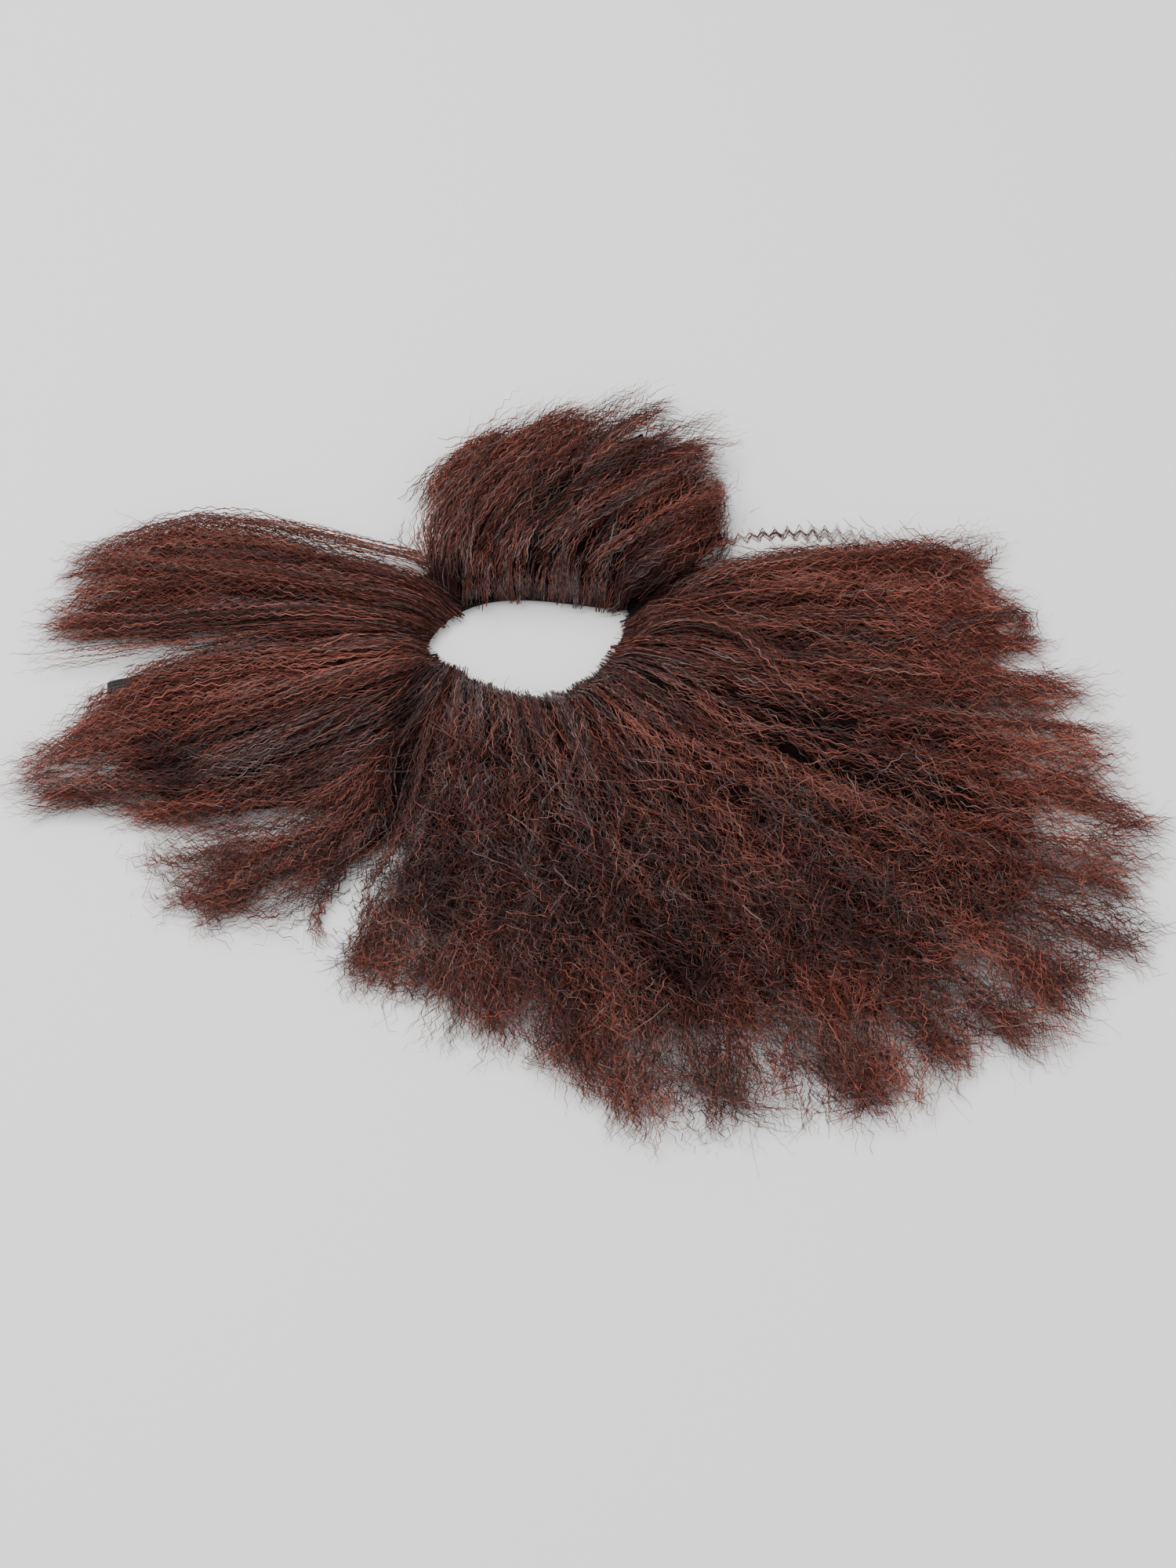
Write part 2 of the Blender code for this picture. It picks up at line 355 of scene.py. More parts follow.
def add_map(obj: bpy.types.Object, spots: np.ndarray) -> None:
    """Give a mesh its surface map.

    Args:
        obj: the mesh object.
        spots: one (u, v) for each face corner.
    """
    layer = obj.data.uv_layers.new(name=TINT_MAP)
    layer.data.foreach_set("uv", np.asarray(spots, np.float32).ravel())


def flips(count: int) -> np.ndarray:
    """A row of that many ones whose sign changes from each to the next."""
    return np.where(np.arange(count) % 2 == 0, 1.0, -1.0)[None, :]


def ribbon_faces(strands: int, knots: int) -> np.ndarray:
    """Faces of a tuft's ribbons.

    Args:
        strands: how many ribbons.
        knots: how many stretches each has.

    Returns:
        Four corner numbers per face.
    """
    row = np.arange(strands)[:, None] * (knots + 1) * 2 + np.arange(knots)[None, :] * 2
    return np.stack([row, row + 1, row + 3, row + 2], -1).reshape(-1, 4)


def ribbon_map(tint: np.ndarray, place: np.ndarray) -> np.ndarray:
    """Places of a tuft's faces on the map.

    Args:
        tint: tint of each knot, a row for each strand.
        place: place of each knot along the whole hair.

    Returns:
        Four pairs (u, v) in a row for each face.
    """
    here, after = tint[:, :-1], tint[:, 1:]
    near = np.clip(place[:, :-1], 0.002, 0.990)
    far = np.clip(np.maximum(place[:, 1:], near + 0.004), 0.004, 0.998)
    w = MAP_HALF
    maps = np.stack([here - w, near, here + w, near, after + w, far, after - w, far], -1)
    return maps.reshape(-1, 8)


def slab_faces(wide: int, deep: int) -> np.ndarray:
    """Faces of a closed slab whose upper and lower grids follow one another.

    Args:
        wide: columns of each grid.
        deep: rows of each grid.

    Returns:
        Four corner numbers per face.
    """
    half = wide * deep
    i, j = np.meshgrid(np.arange(wide - 1), np.arange(deep - 1), indexing="ij")
    a = (i * deep + j).ravel()
    upper = np.column_stack([a, a + deep, a + deep + 1, a + 1])
    under = np.column_stack([a, a + 1, a + deep + 1, a + deep]) + half
    j = np.arange(deep - 1)
    k = j + (wide - 1) * deep
    left = np.column_stack([j, j + 1, j + 1 + half, j + half])
    right = np.column_stack([k, k + half, k + half + 1, k + 1])
    i = np.arange(wide - 1) * deep
    root = np.column_stack([i, i + half, i + half + deep, i + deep])
    m = i + deep - 1
    tips = np.column_stack([m, m + deep, m + deep + half, m + half])
    return np.concatenate([upper, under, left, right, root, tips])


class HairField:
    """Collects strands as thin crimped ribbons and turns them into one mesh."""

    def __init__(self, seed: int) -> None:
        """Start an empty field.

        Args:
            seed: seed of its own random draws.
        """
        self.draw = np.random.default_rng(seed)
        self.tones = TONES
        self.verts: list[np.ndarray] = []
        self.quads: list[np.ndarray] = []
        self.maps: list[np.ndarray] = []
        self.count = 0

    def add_grid(self, verts: np.ndarray, quads: np.ndarray, maps: np.ndarray) -> None:
        """Append a piece of mesh.

        Args:
            verts: corners in millimetres.
            quads: four corner numbers per row, from zero.
            maps: (u, v) for each face corner.
        """
        self.verts.append(verts)
        self.quads.append(quads + self.count)
        self.maps.append(maps)
        self.count += len(verts)

    def comb(self, centre: np.ndarray, tuft: Tuft) -> None:
        """Lay one tuft of strands along a centre line.

        Args:
            centre: the centre line, samples from root to tip.
            tuft: what the strands are like.
        """
        draw, wave, n = self.draw, tuft.wave, tuft.strands
        steps = np.linalg.norm(np.diff(centre, axis=0), axis=1)
        arc = np.concatenate([[0.0], np.cumsum(steps)])
        total = float(arc[-1])
        knots = max(4, int(round(total / (0.5 * wave.length))))
        scale = 1.0 - np.abs(draw.normal(0.0, tuft.trim, n))[:, None]
        shift = draw.uniform(-wave.loose, wave.loose, n) + (draw.uniform(size=n) < wave.loose)
        index = np.arange(knots + 1)[None, :] + shift[:, None]
        index[:, 0] = 0.0
        share = np.minimum(np.clip(index / knots, 0.0, 1.0), scale)
        place = tuft.span[0] + (tuft.span[1] - tuft.span[0]) * share
        spot, side = self.follow(centre, arc, share * total)
        up = np.zeros_like(side)
        up[..., 2] = 1.0
        angle, aside, above = self.spread(tuft, share, total)
        swing, lift = self.crimp(wave, place)
        spot = spot + side * (aside + swing)[..., None] + up * (above + lift)[..., None]
        light, ash, thin = self.settle(spot)
        lowest = 0.35 + 0.4 * draw.uniform(0.0, 1.0, n)[:, None]
        spot[..., 2] = np.maximum(spot[..., 2], lowest)
        roll = np.radians(draw.normal(0.0, 40.0, n)[:, None] + 25.0 * np.sin(3.0 * share + angle))
        across = side * np.cos(roll)[..., None] + up * np.sin(roll)[..., None]
        taper = np.interp(share / scale, [0.0, 0.1, 0.8, 1.0], [0.8, 1.0, 0.85, 0.3])
        half = 0.5 * tuft.width * draw.uniform(0.75, 1.2, n)[:, None] * taper
        across *= half[..., None]
        verts = np.stack([spot - across, spot + across], 2).reshape(-1, 3)
        tint = self.tint(tuft, light, ash)
        grown = np.diff(share, axis=1) > 1e-4
        dense = np.maximum(thin[:, :-1], thin[:, 1:]) <= draw.uniform(size=n)[:, None]
        kept = (dense & grown).ravel()
        maps = ribbon_map(tint, place)[kept].reshape(-1, 2)
        self.add_grid(verts, ribbon_faces(n, knots)[kept], maps)

    def follow(
        self, centre: np.ndarray, arc: np.ndarray, where: np.ndarray
    ) -> tuple[np.ndarray, np.ndarray]:
        """Read a centre line at places along it.

        Args:
            centre: the centre line's samples.
            arc: how far along the line each sample is.
            where: places along the line, a row for each strand.

        Returns:
            The points, and the level direction to the line's left.
        """
        spot = np.stack([np.interp(where, arc, centre[:, k]) for k in range(3)], -1)
        run = np.zeros_like(spot)
        for k in range(2):
            ahead = np.interp(np.minimum(where + LOOK_AHEAD, arc[-1]), arc, centre[:, k])
            behind = np.interp(np.maximum(where - LOOK_AHEAD, 0.0), arc, centre[:, k])
            run[..., k] = ahead - behind
        run /= np.maximum(np.linalg.norm(run, axis=-1, keepdims=True), 1e-6)
        return spot, np.stack([-run[..., 1], run[..., 0], run[..., 2]], -1)

    def spread(
        self, tuft: Tuft, share: np.ndarray, total: float
    ) -> tuple[np.ndarray, np.ndarray, np.ndarray]:
        """Part a tuft's strands, and let them stray, sway and curl at the tip.

        Args:
            tuft: what the strands are like.
            share: share of the length at each knot, a row for each strand.
            total: length of the centre line.

        Returns:
            The angle round the line, and how far each knot lies aside and above.
        """
        draw, n, where = self.draw, tuft.strands, share * total
        grow = np.interp(share, [0.0, 0.25, 0.7, 1.0], [tuft.pinch, 0.9, 1.0, tuft.splay])
        angle = draw.uniform(0.0, 2.0 * math.pi, n)[:, None]
        angle = angle + draw.normal(0.0, 1.4, n)[:, None] * share
        reach = tuft.radius * np.sqrt(draw.uniform(0.0, 1.0, n))[:, None] * grow
        stray = np.radians(np.clip(draw.normal(0.0, tuft.fan, n), -MOST_FAN, MOST_FAN))[:, None]
        aside = reach * np.cos(angle) + (where - 0.5 * total) * np.tan(stray)
        above = 0.55 * reach * np.sin(angle)
        for size in (1.0, 0.5, 0.2):
            beat = draw.uniform(0.7, 1.6, n)[:, None] / size
            phase = draw.uniform(0.0, 2.0 * math.pi, n)[:, None]
            sway = tuft.frizz * size * np.interp(share, [0.0, 0.3, 1.0], [0.1, 0.8, 1.5])
            swing = sway * np.sin(2.0 * math.pi * beat * where / SWAY_LENGTH + phase)
            aside += swing * draw.normal(0.0, 1.0, n)[:, None]
            above += 0.4 * swing * draw.normal(0.0, 1.0, n)[:, None]
        bend = np.clip((share - 0.78) / 0.22, 0.0, 1.0) ** 2
        aside += tuft.curl * bend * draw.normal(0.0, 0.6, n)[:, None]
        return angle, aside, above

    def crimp(self, wave: Wave, place: np.ndarray) -> tuple[np.ndarray, np.ndarray]:
        """Zigzag of a tuft's strands, weaker at the root than at the tip.

        Args:
            wave: the crimp.
            place: place of each knot along the whole hair, a row for each strand.

        Returns:
            How far the crimp takes each knot aside and above.
        """
        draw, (n, count) = self.draw, place.shape
        tilt = np.radians(draw.uniform(-wave.upright, wave.upright) + draw.normal(0.0, 25.0, n))
        uneven = draw.uniform(0.6, 1.3, (n, count)) * draw.uniform(0.6, 1.3, n)[:, None]
        zigzag = flips(count) * uneven
        zigzag *= np.interp(place, [0.0, 0.04, 0.15, 0.7], [0.0, wave.root, wave.root, wave.tip])
        return zigzag * np.cos(tilt)[:, None], zigzag * np.sin(tilt)[:, None]

    def settle(self, spot: np.ndarray) -> tuple[np.ndarray, np.ndarray, np.ndarray]:
        """Sink the points where the hair lies deeper, and read the other tones there.

        Args:
            spot: the knots, whose heights are changed.

        Returns:
            How much lighter, greyer and thinner the hair is at each knot.
        """
        light, ash, thin = (np.zeros(spot.shape[:-1]) for _ in range(3))
        for tone in self.tones:
            weight = tone.weight(spot[..., 0], spot[..., 1])
            # the tones' light and ash paint shade in partings and hollows, light on the crests and grey
            # sheen
            light += tone.light * weight
            ash += tone.ash * weight
            thin = np.maximum(thin, tone.thin * weight)
            spot[..., 2] -= tone.sink * weight
        return light, ash, thin

    def tint(self, tuft: Tuft, light: np.ndarray, ash: np.ndarray) -> np.ndarray:
        """Choose each strand's shade and each knot's tint in it.

        Args:
            tuft: what the strands are like.
            light: how much lighter each knot is, a row for each strand.
            ash: how much greyer.

        Returns:
            Places on the tint scale.
        """
        draw, (n, count) = self.draw, light.shape
        ashy = draw.uniform(size=n)[:, None] < tuft.ash + ash.mean(1)[:, None]
        band = np.where(ashy, Shade.ASH_AND_SHEEN.value, Shade.AUBURN.value)
        level = tuft.light + draw.normal(0.0, NOISE, n)[:, None] + light
        # painted glint: the knots of a strand lighter and darker in turn, as if each crimp caught the
        # light, with some spread
        glint = flips(count) * draw.normal(0.0, 1.0, n)[:, None]
        glint = glint + draw.normal(0.0, 0.7, light.shape)
        return band[:, :1] + band[:, 1:] * np.clip(level + GLINT * glint, 0.0, 1.0)

    def finish(self, name: str, shift: np.ndarray) -> bpy.types.Object:
        """Turn the collected pieces into one mesh object.

        Args:
            name: the object's name.
            shift: place of the mouth opening's middle in the row frame, in metres.

        Returns:
            The object.
        """
        quads = np.concatenate(self.quads)
        verts = np.concatenate(self.verts) * MM + shift
        low = np.array(CAD_BOX[0]) - LOOSE_REACH
        high = np.array(CAD_BOX[1]) + LOOSE_REACH
        near = np.all((verts >= low) & (verts <= high), axis=1)
        kept = near[quads].all(axis=1)
        used, order = np.unique(quads[kept], return_inverse=True)
        obj = add_mesh(name, verts[used], order.reshape(-1, 4))
        add_map(obj, np.concatenate(self.maps).reshape(-1, 8)[kept].reshape(-1, 2))
        return obj


def new_material(name: str, roughness: float, specular: float = 0.5) -> bpy.types.Material:
    """Start a material.

    Args:
        name: the material's name.
        roughness: how rough its surface is.
        specular: how strongly it shines.

    Returns:
        The material, with its shader and no colour yet.
    """
    mat = bpy.data.materials.new(name)
    mat.use_nodes = True
    shader = mat.node_tree.nodes["Principled BSDF"]
    shader.inputs["Roughness"].default_value = roughness
    shader.inputs["Specular IOR Level"].default_value = specular
    return mat


@dataclass(frozen=True)
class HairFinish:
    """Crimped synthetic hair, dark auburn, whose tint comes from the strand's place on its map."""

    name: str = "crimped_hair"
    roughness: float = 0.5
    specular: float = 0.22
    tints: tuple[tuple[float, tuple[float, float, float]], ...] = (
        # core band, near black: painted shade deep in the hair mass
        (0.00, (0.004, 0.0022, 0.0022)),
        (0.05, (0.010, 0.0045, 0.0040)),
        # ash band: dark brown-black fibres, greying at the light end to painted sheen
        (0.08, (0.020, 0.011, 0.011)),
        (0.26, (0.064, 0.039, 0.036)),
        (0.44, (0.190, 0.130, 0.122)),
        (0.52, (0.019, 0.0045, 0.0034)),
        (0.70, (0.108, 0.027, 0.018)),
        (0.88, (0.290, 0.094, 0.066)),
        (0.90, (0.300, 0.100, 0.070)),
        (1.00, (0.520, 0.210, 0.150)),
    )
    # root to tip: painted shade darkens and greys the roots, and painted light shining through the thin
    # ends lightens and reddens the tips
    along: tuple[tuple[float, tuple[float, float, float]], ...] = (
        (0.00, (0.60, 0.62, 0.64)),
        (0.12, (0.90, 0.94, 0.97)),
        (0.60, (1.00, 1.00, 1.00)),
        (0.90, (1.20, 1.05, 1.00)),
        (1.00, (1.60, 1.40, 1.35)),
    )

    def material(self) -> bpy.types.Material:
        """Build the material.

        Returns:
            The material.
        """
        mat = new_material(self.name, self.roughness, self.specular)
        nodes, links = mat.node_tree.nodes, mat.node_tree.links
        shader = nodes["Principled BSDF"]
        place = nodes.new("ShaderNodeUVMap")
        place.uv_map = TINT_MAP
        parts = nodes.new("ShaderNodeSeparateXYZ")
        links.new(place.outputs["UV"], parts.inputs["Vector"])
        tint = ramp(nodes, self.tints)
        # painted shade at the root and painted light at the tip of each strand
        length = ramp(nodes, self.along)
        links.new(parts.outputs["X"], tint.inputs["Fac"])
        links.new(parts.outputs["Y"], length.inputs["Fac"])
        mix = nodes.new("ShaderNodeMix")
        mix.data_type = "RGBA"
        mix.blend_type = "MULTIPLY"
        mix.inputs["Factor"].default_value = 1.0
        links.new(tint.outputs["Color"], mix.inputs["A"])
        links.new(length.outputs["Color"], mix.inputs["B"])
        links.new(mix.outputs["Result"], shader.inputs["Base Color"])
        return mat


@dataclass(frozen=True)
class ClothFinish:
    """Matt black knitted cloth."""

    color: tuple[float, float, float] = (0.006, 0.0055, 0.006)
    roughness: float = 0.95
    specular: float = 0.1
    knit: float = 900.0

    def material(self) -> bpy.types.Material:
        """Build the material.

        Returns:
            The material.
        """
        mat = new_material("black_cloth", self.roughness, self.specular)
        nodes, links = mat.node_tree.nodes, mat.node_tree.links
        shader = nodes["Principled BSDF"]
        place = nodes.new("ShaderNodeTexCoord")
        noise = nodes.new("ShaderNodeTexNoise")
        noise.inputs["Scale"].default_value = self.knit
        noise.inputs["Detail"].default_value = 3.0
        links.new(place.outputs["Object"], noise.inputs["Vector"])
        dark, pale = (tuple(part * c for c in self.color) for part in (0.5, 1.9))
        shades = ramp(nodes, ((0.3, dark), (0.7, pale)))
        links.new(noise.outputs["Fac"], shades.inputs["Fac"])
        links.new(shades.outputs["Color"], shader.inputs["Base Color"])
        add_bump(nodes, links, noise.outputs["Fac"], shader, 0.5, 0.0004)
        return mat


@dataclass(frozen=True)
class ElasticFinish:
    """Black woven elastic with ribs along its length."""

    color: tuple[float, float, float] = (0.010, 0.010, 0.011)
    roughness: float = 0.7
    ribs: float = 9.0
    picks: float = 160.0

    def material(self) -> bpy.types.Material:
        """Build the material.

        Returns:
            The material.
        """
        mat = new_material("woven_elastic", self.roughness)
        nodes, links = mat.node_tree.nodes, mat.node_tree.links
        shader = nodes["Principled BSDF"]
        place = nodes.new("ShaderNodeUVMap")
        place.uv_map = TINT_MAP
        parts = nodes.new("ShaderNodeSeparateXYZ")
        links.new(place.outputs["UV"], parts.inputs["Vector"])
        waves = []
        for output, beats in (("X", self.picks), ("Y", self.ribs * 4.0)):
            turn = nodes.new("ShaderNodeMath")
            turn.operation = "MULTIPLY"
            turn.inputs[1].default_value = beats * 2.0 * math.pi
            links.new(parts.outputs[output], turn.inputs[0])
            sine = nodes.new("ShaderNodeMath")
            sine.operation = "SINE"
            links.new(turn.outputs[0], sine.inputs[0])
            waves.append(sine)
        weave = nodes.new("ShaderNodeMath")
        weave.operation = "MULTIPLY_ADD"
        weave.inputs[1].default_value = 0.35
        links.new(waves[0].outputs[0], weave.inputs[0])
        links.new(waves[1].outputs[0], weave.inputs[2])
        shades = ramp(nodes, ((0.2, self.color), (0.9, tuple(3.0 * c for c in self.color))))
        links.new(weave.outputs[0], shades.inputs["Fac"])
        links.new(shades.outputs["Color"], shader.inputs["Base Color"])
        add_bump(nodes, links, weave.outputs[0], shader, 0.6, 0.0003)
        return mat


@dataclass(frozen=True)
class FloorFinish:
    """Plain pale studio floor."""

    color: tuple[float, float, float] = (0.95, 0.95, 0.95)
    roughness: float = 0.9

    def material(self) -> bpy.types.Material:
        """Build the material.

        Returns:
            The material.
        """
        mat = new_material("pale_floor", self.roughness)
        shader = mat.node_tree.nodes["Principled BSDF"]
        shader.inputs["Base Color"].default_value = (*self.color, 1.0)
        return mat


def ramp(
    nodes: bpy.types.Nodes, stops: tuple[tuple[float, tuple[float, float, float]], ...]
) -> bpy.types.Node:
    """Add a colour ramp.

    Args:
        nodes: the material's nodes.
        stops: pairs of place and linear colour.

    Returns:
        The ramp node.
    """
    node = nodes.new("ShaderNodeValToRGB")
    band = node.color_ramp
    while len(band.elements) < len(stops):
        band.elements.new(0.5)
    for element, (place, color) in zip(band.elements, stops):
        element.position = place
        element.color = (*color, 1.0)
    return node


def add_bump(
    nodes: bpy.types.Nodes,
    links: bpy.types.NodeLinks,
    height: bpy.types.NodeSocket,
    shader: bpy.types.Node,
    strength: float,
    distance: float,
) -> None:
    """Raise a surface by a height.

    Args:
        nodes: the material's nodes.
        links: the material's links.
        height: socket that gives the height.
        shader: the shader whose normal is bumped.
        strength: bump strength.
        distance: bump distance in metres.
    """
    bump = nodes.new("ShaderNodeBump")
    bump.inputs["Strength"].default_value = strength
    bump.inputs["Distance"].default_value = distance
    links.new(height, bump.inputs["Height"])
    links.new(bump.outputs["Normal"], shader.inputs["Normal"])


@dataclass(frozen=True)
class HairBundle:
    """A bundle of locks that fans out from the mouth's rim between its partings."""

    name: str
    node: str
    seed: int
    swell: tuple[float, ...]
    bed: tuple[float, ...]
    partings: tuple[Parting, ...]
    locks: tuple[Lock, ...]
    style: HairStyle
    free: tuple[bool, bool] = (False, False)
    tresses: tuple[Tress, ...] = ()
    stations: tuple[float, ...] = (0.0, 0.05, 0.12, 0.22, 0.34, 0.48, 0.62, 0.76, 0.89, 1.0)
    root_offset: float = 1.2
    grip: float = 1.0
    columns: int = 14
    rows: int = 61
    furthest: float = 1.1
    core_depth: float = 2.6
    edge: float = 0.8
    root_height: float = 3.9

    def grid(self, rim: Rim) -> np.ndarray:
        """Work out the bundle's form.

        Args:
            rim: the mouth opening's edge.

        Returns:
            Columns by rows of (x, y, bed height, top height).
        """
        shares = np.linspace(0.0, self.furthest, self.rows)
        lines = [p.flow(rim, shares, self.root_offset, self.grip) for p in self.partings]
        swell = np.interp(shares, self.stations, self.swell)
        bed = np.interp(shares, self.stations, self.bed)
        made = []
        last = len(self.locks) * self.columns
        for column in range(last + 1):
            index = min(column // self.columns, len(self.locks) - 1)
            across = column / self.columns - index
            lock = self.locks[index]
            bulge = math.sin(math.pi * across)
            left, right = self.partings[index], self.partings[index + 1]
            turn = (right.arrive - left.arrive + 180.0) % 360.0 - 180.0
            ahead = heading(left.arrive + turn * across)
            lean = abs(2.0 * across - 1.0 + 0.5 * lock.lean * bulge)
            reach = lock.out * max(0.0, 1.0 - lean)
            plan = lines[index] * (1.0 - across) + lines[index + 1] * across
            plan = plan + np.outer(np.minimum(shares, 1.0) ** 3 * reach, ahead)
            border = column == 0 and self.free[0] or column == last and self.free[1]
            valley = 0.12 if border else 0.5
            ridge = valley + (1.0 - valley) * bulge**0.7
            top = np.maximum(lock.height * swell * ridge, bed + self.edge)
            made.append(np.column_stack([plan, bed, top]))
        return np.array(made)

    def locate(self, grid: np.ndarray, place: np.ndarray, share: np.ndarray) -> np.ndarray:
        """Read the form between its columns and rows.

        Args:
            grid: what grid() returned.
            place: place across, 0 to the number of locks.
            share: share of the length.

        Returns:
            (x, y, bed height, top height) for each pair.
        """
        col = np.clip(place * self.columns, 0.0, len(grid) - 1.001)
        row = np.clip(share / self.furthest * (self.rows - 1), 0.0, self.rows - 1.001)
        i, j = col.astype(int), row.astype(int)
        a, b = (col - i)[:, None], (row - j)[:, None]
        near = grid[i, j] * (1 - b) + grid[i, j + 1] * b
        far = grid[i + 1, j] * (1 - b) + grid[i + 1, j + 1] * b
        return near * (1 - a) + far * a

    def mottle(self, place: float, share: float, layer: int) -> float:
        """Slow change over the bundle, between about -1 and 1.

        Args:
            place: place across, in locks.
            share: share of the length.
            layer: which of the independent patterns.

        Returns:
            The pattern's value.
        """
        turns = np.random.default_rng(self.seed * 7 + layer).uniform(0.0, 2.0 * math.pi, 4)
        value = math.sin(4.1 * place + 3.0 * share + turns[0]) * math.sin(5.0 * share + turns[1])
        value += 0.8 * math.sin(8.7 * place - 6.0 * share + turns[2])
        value += 0.6 * math.sin(2.3 * place + 13.0 * share + turns[3])
        return value / 2.0

    def lay_core(self, hair: HairField, grid: np.ndarray) -> int:
        """Add the under-hair that the strands lie on, tinted near black as painted shade deep in the hair.

        Args:
            hair: the field that it goes into.
            grid: the bundle's form.

        Returns:
            How many faces it has.
        """
        draw = hair.draw
        wide, deep = len(grid), CORE_ROWS
        half = wide * deep
        shares = np.linspace(0.04, 1.0, deep)
        sink = np.interp(shares, [0.0, 0.1, 0.85, 1.0], [1.2, self.core_depth, self.core_depth, 6.0])
        top, low, bare = [], [], []
        for column in range(wide):
            tip = self.style.core_end + 0.04 * self.mottle(3.0 * column / self.columns, 0.9, 4)
            place = np.full(deep, column / self.columns)
            if column in (0, wide - 1):
                inset = 0.3 if self.free[min(column, 1)] else 0.12
                place += inset if column == 0 else -inset
            spot = self.locate(grid, place, shares * tip)
            depth = sink + draw.uniform(-0.9, 0.9) * np.minimum(1.0, 6.0 * shares)
            height = spot[:, 3] - depth
            thin = np.zeros(deep)
            for tone in hair.tones:
                weight = tone.weight(spot[:, 0], spot[:, 1])
                height -= 1.3 * max(0.0, tone.sink) * weight
                thin = np.maximum(thin, tone.thin * weight)
            bare.append(thin)
            height = np.maximum(height, spot[:, 2] + 0.4)
            top.append(np.column_stack([spot[:, :2], height]))
            low.append(np.column_stack([spot[:, :2], spot[:, 2] + CORE_LIFT]))
        verts = np.concatenate([np.array(top).reshape(-1, 3), np.array(low).reshape(-1, 3)])
        quads = slab_faces(wide, deep)
        # near-black tint of the under-hair: painted shade
        start, span = Shade.CORE_SHADE.value
        level = start + span * draw.uniform(0.0, 1.0, half)[quads[:, 0] % half // deep]
        along = draw.uniform(0.3, 0.6, len(quads))
        kept = np.array(bare).ravel()[quads % half].max(1) < BARE
        quads, level, along = quads[kept], level[kept], along[kept]
        corners = [level, along, level + 0.004, along, level + 0.004, along + 0.01, level, along + 0.01]
        hair.add_grid(verts, quads, np.stack(corners, -1).reshape(-1, 2))
        return len(quads)

    def centre_line(
        self, hair: HairField, grid: np.ndarray, across: np.ndarray, shares: np.ndarray, depth: float
    ) -> np.ndarray:
        """Centre line of a tuft that leaves the rim and follows the bundle's form.

        Args:
            hair: the field, for its random draws.
            grid: the bundle's form.
            across: place across for each share.
            shares: shares of the length.
            depth: 0 on the form's top, 1 on its bed.

        Returns:
            The line's samples.
        """
        spot = self.locate(grid, across, shares)
        height = spot[:, 2] + (spot[:, 3] - spot[:, 2]) * (1.0 - depth)
        rise = np.clip(shares / 0.03, 0.0, 1.0) ** 0.7
        height = self.root_height + (height - self.root_height) * rise
        line = np.column_stack([spot[:, :2], height])
        back = line[0, :2] - line[2, :2]
        back /= max(1e-6, float(np.linalg.norm(back)))
        over = hair.draw.uniform(-0.3, 1.6) + 2.4 * (hair.draw.uniform() < 0.12)
        first = np.append(line[0, :2] + back * over, self.root_height - 0.3 * max(over, 0.0))
        return np.vstack([first, line[1:]])

    def lay_tufts(self, hair: HairField, grid: np.ndarray) -> None:
        """Lay the bundle's tufts over its form, from the bed to the top.

        Args:
            hair: the field that they go into.
            grid: the bundle's form.
        """
        style, draw = self.style, hair.draw
        count = len(self.locks)
        samples = np.linspace(0.0, 1.0, LONG_SAMPLES)
        order = (np.arange(style.tufts) + draw.uniform(0.0, 1.0, style.tufts)) / style.tufts
        for slot in order:
            place = slot * count
            middle = 1.0 - abs(2.0 * (place % 1.0) - 1.0)
            end = draw.uniform(style.shortest, style.longest) + 0.03 * middle
            drift = draw.normal(0.0, 0.16) * samples
            drift += draw.normal(0.0, 0.12) * np.sin(math.pi * samples * draw.uniform(1.0, 2.2))
            drift += style.sweep * (1.0 - slot) * samples**1.3
            across = np.clip(place + drift, 0.02, count - 0.02)
            depth = style.bury + draw.beta(1.0, 2.6) * 0.8 * (1.0 - style.bury)
            centre = self.centre_line(hair, grid, across, samples * end, depth)
            centre[:, 2] += draw.uniform(-1.0, 0.8) * np.sin(math.pi * samples)
            light = style.tuft.light + draw.normal(0.0, 0.06)
            # deeper tufts are darker: painted shade
            light += 0.12 * self.mottle(place, 0.5, 1) - 0.3 * depth
            hair.comb(
                centre,
                replace(
                    style.tuft,
                    wave=replace(style.tuft.wave, length=style.tuft.wave.length * style.stretch),
                    radius=style.tuft.radius * draw.uniform(0.7, 1.3),
                    light=light,
                    ash=style.tuft.ash + draw.normal(0.0, 0.12),
                ),
            )

    def lay_thatch(self, hair: HairField, grid: np.ndarray) -> None:
        """Cover the bundle with short crossing strands, straighter at the root than at the tip.

        Args:
            hair: the field that they go into.
            grid: the bundle's form.
        """
        style, draw, tuft = self.style, hair.draw, self.style.tuft
        for _ in range(style.thatch):
            place = draw.uniform(0.0, len(self.locks))
            share = 0.04 + 0.96 * draw.uniform() ** 0.52
            length = draw.uniform(*style.patch)
            spread = style.fray * (0.2 + 0.8 * min(1.0, 1.5 * share))
            turn = math.radians(draw.normal(0.0, 0.6 * spread))
            centre, start, end = self.patch_line(hair, grid, place, share, length, turn)
            # lighter where the same pattern lifts the patch in patch_line and darker in its hollows:
            # painted light and shade
            light = tuft.light + 0.10 * self.mottle(place, share, 2)
            light += 0.12 * self.mottle(place, share, 1) + draw.normal(0.0, 0.05)
            hair.comb(
                centre,
                replace(
                    tuft,
                    strands=6,
                    width=0.31,
                    fan=0.8 * spread,
                    span=(start, max(end, start + 0.02)),
                    ash=tuft.ash + 0.3 * self.mottle(place, share, 3),
                    light=light,
                    pinch=0.8,
                    splay=1.0,
                    trim=0.2,
                    curl=0.25 * tuft.curl,
                    frizz=0.6 * tuft.frizz,
                ),
            )

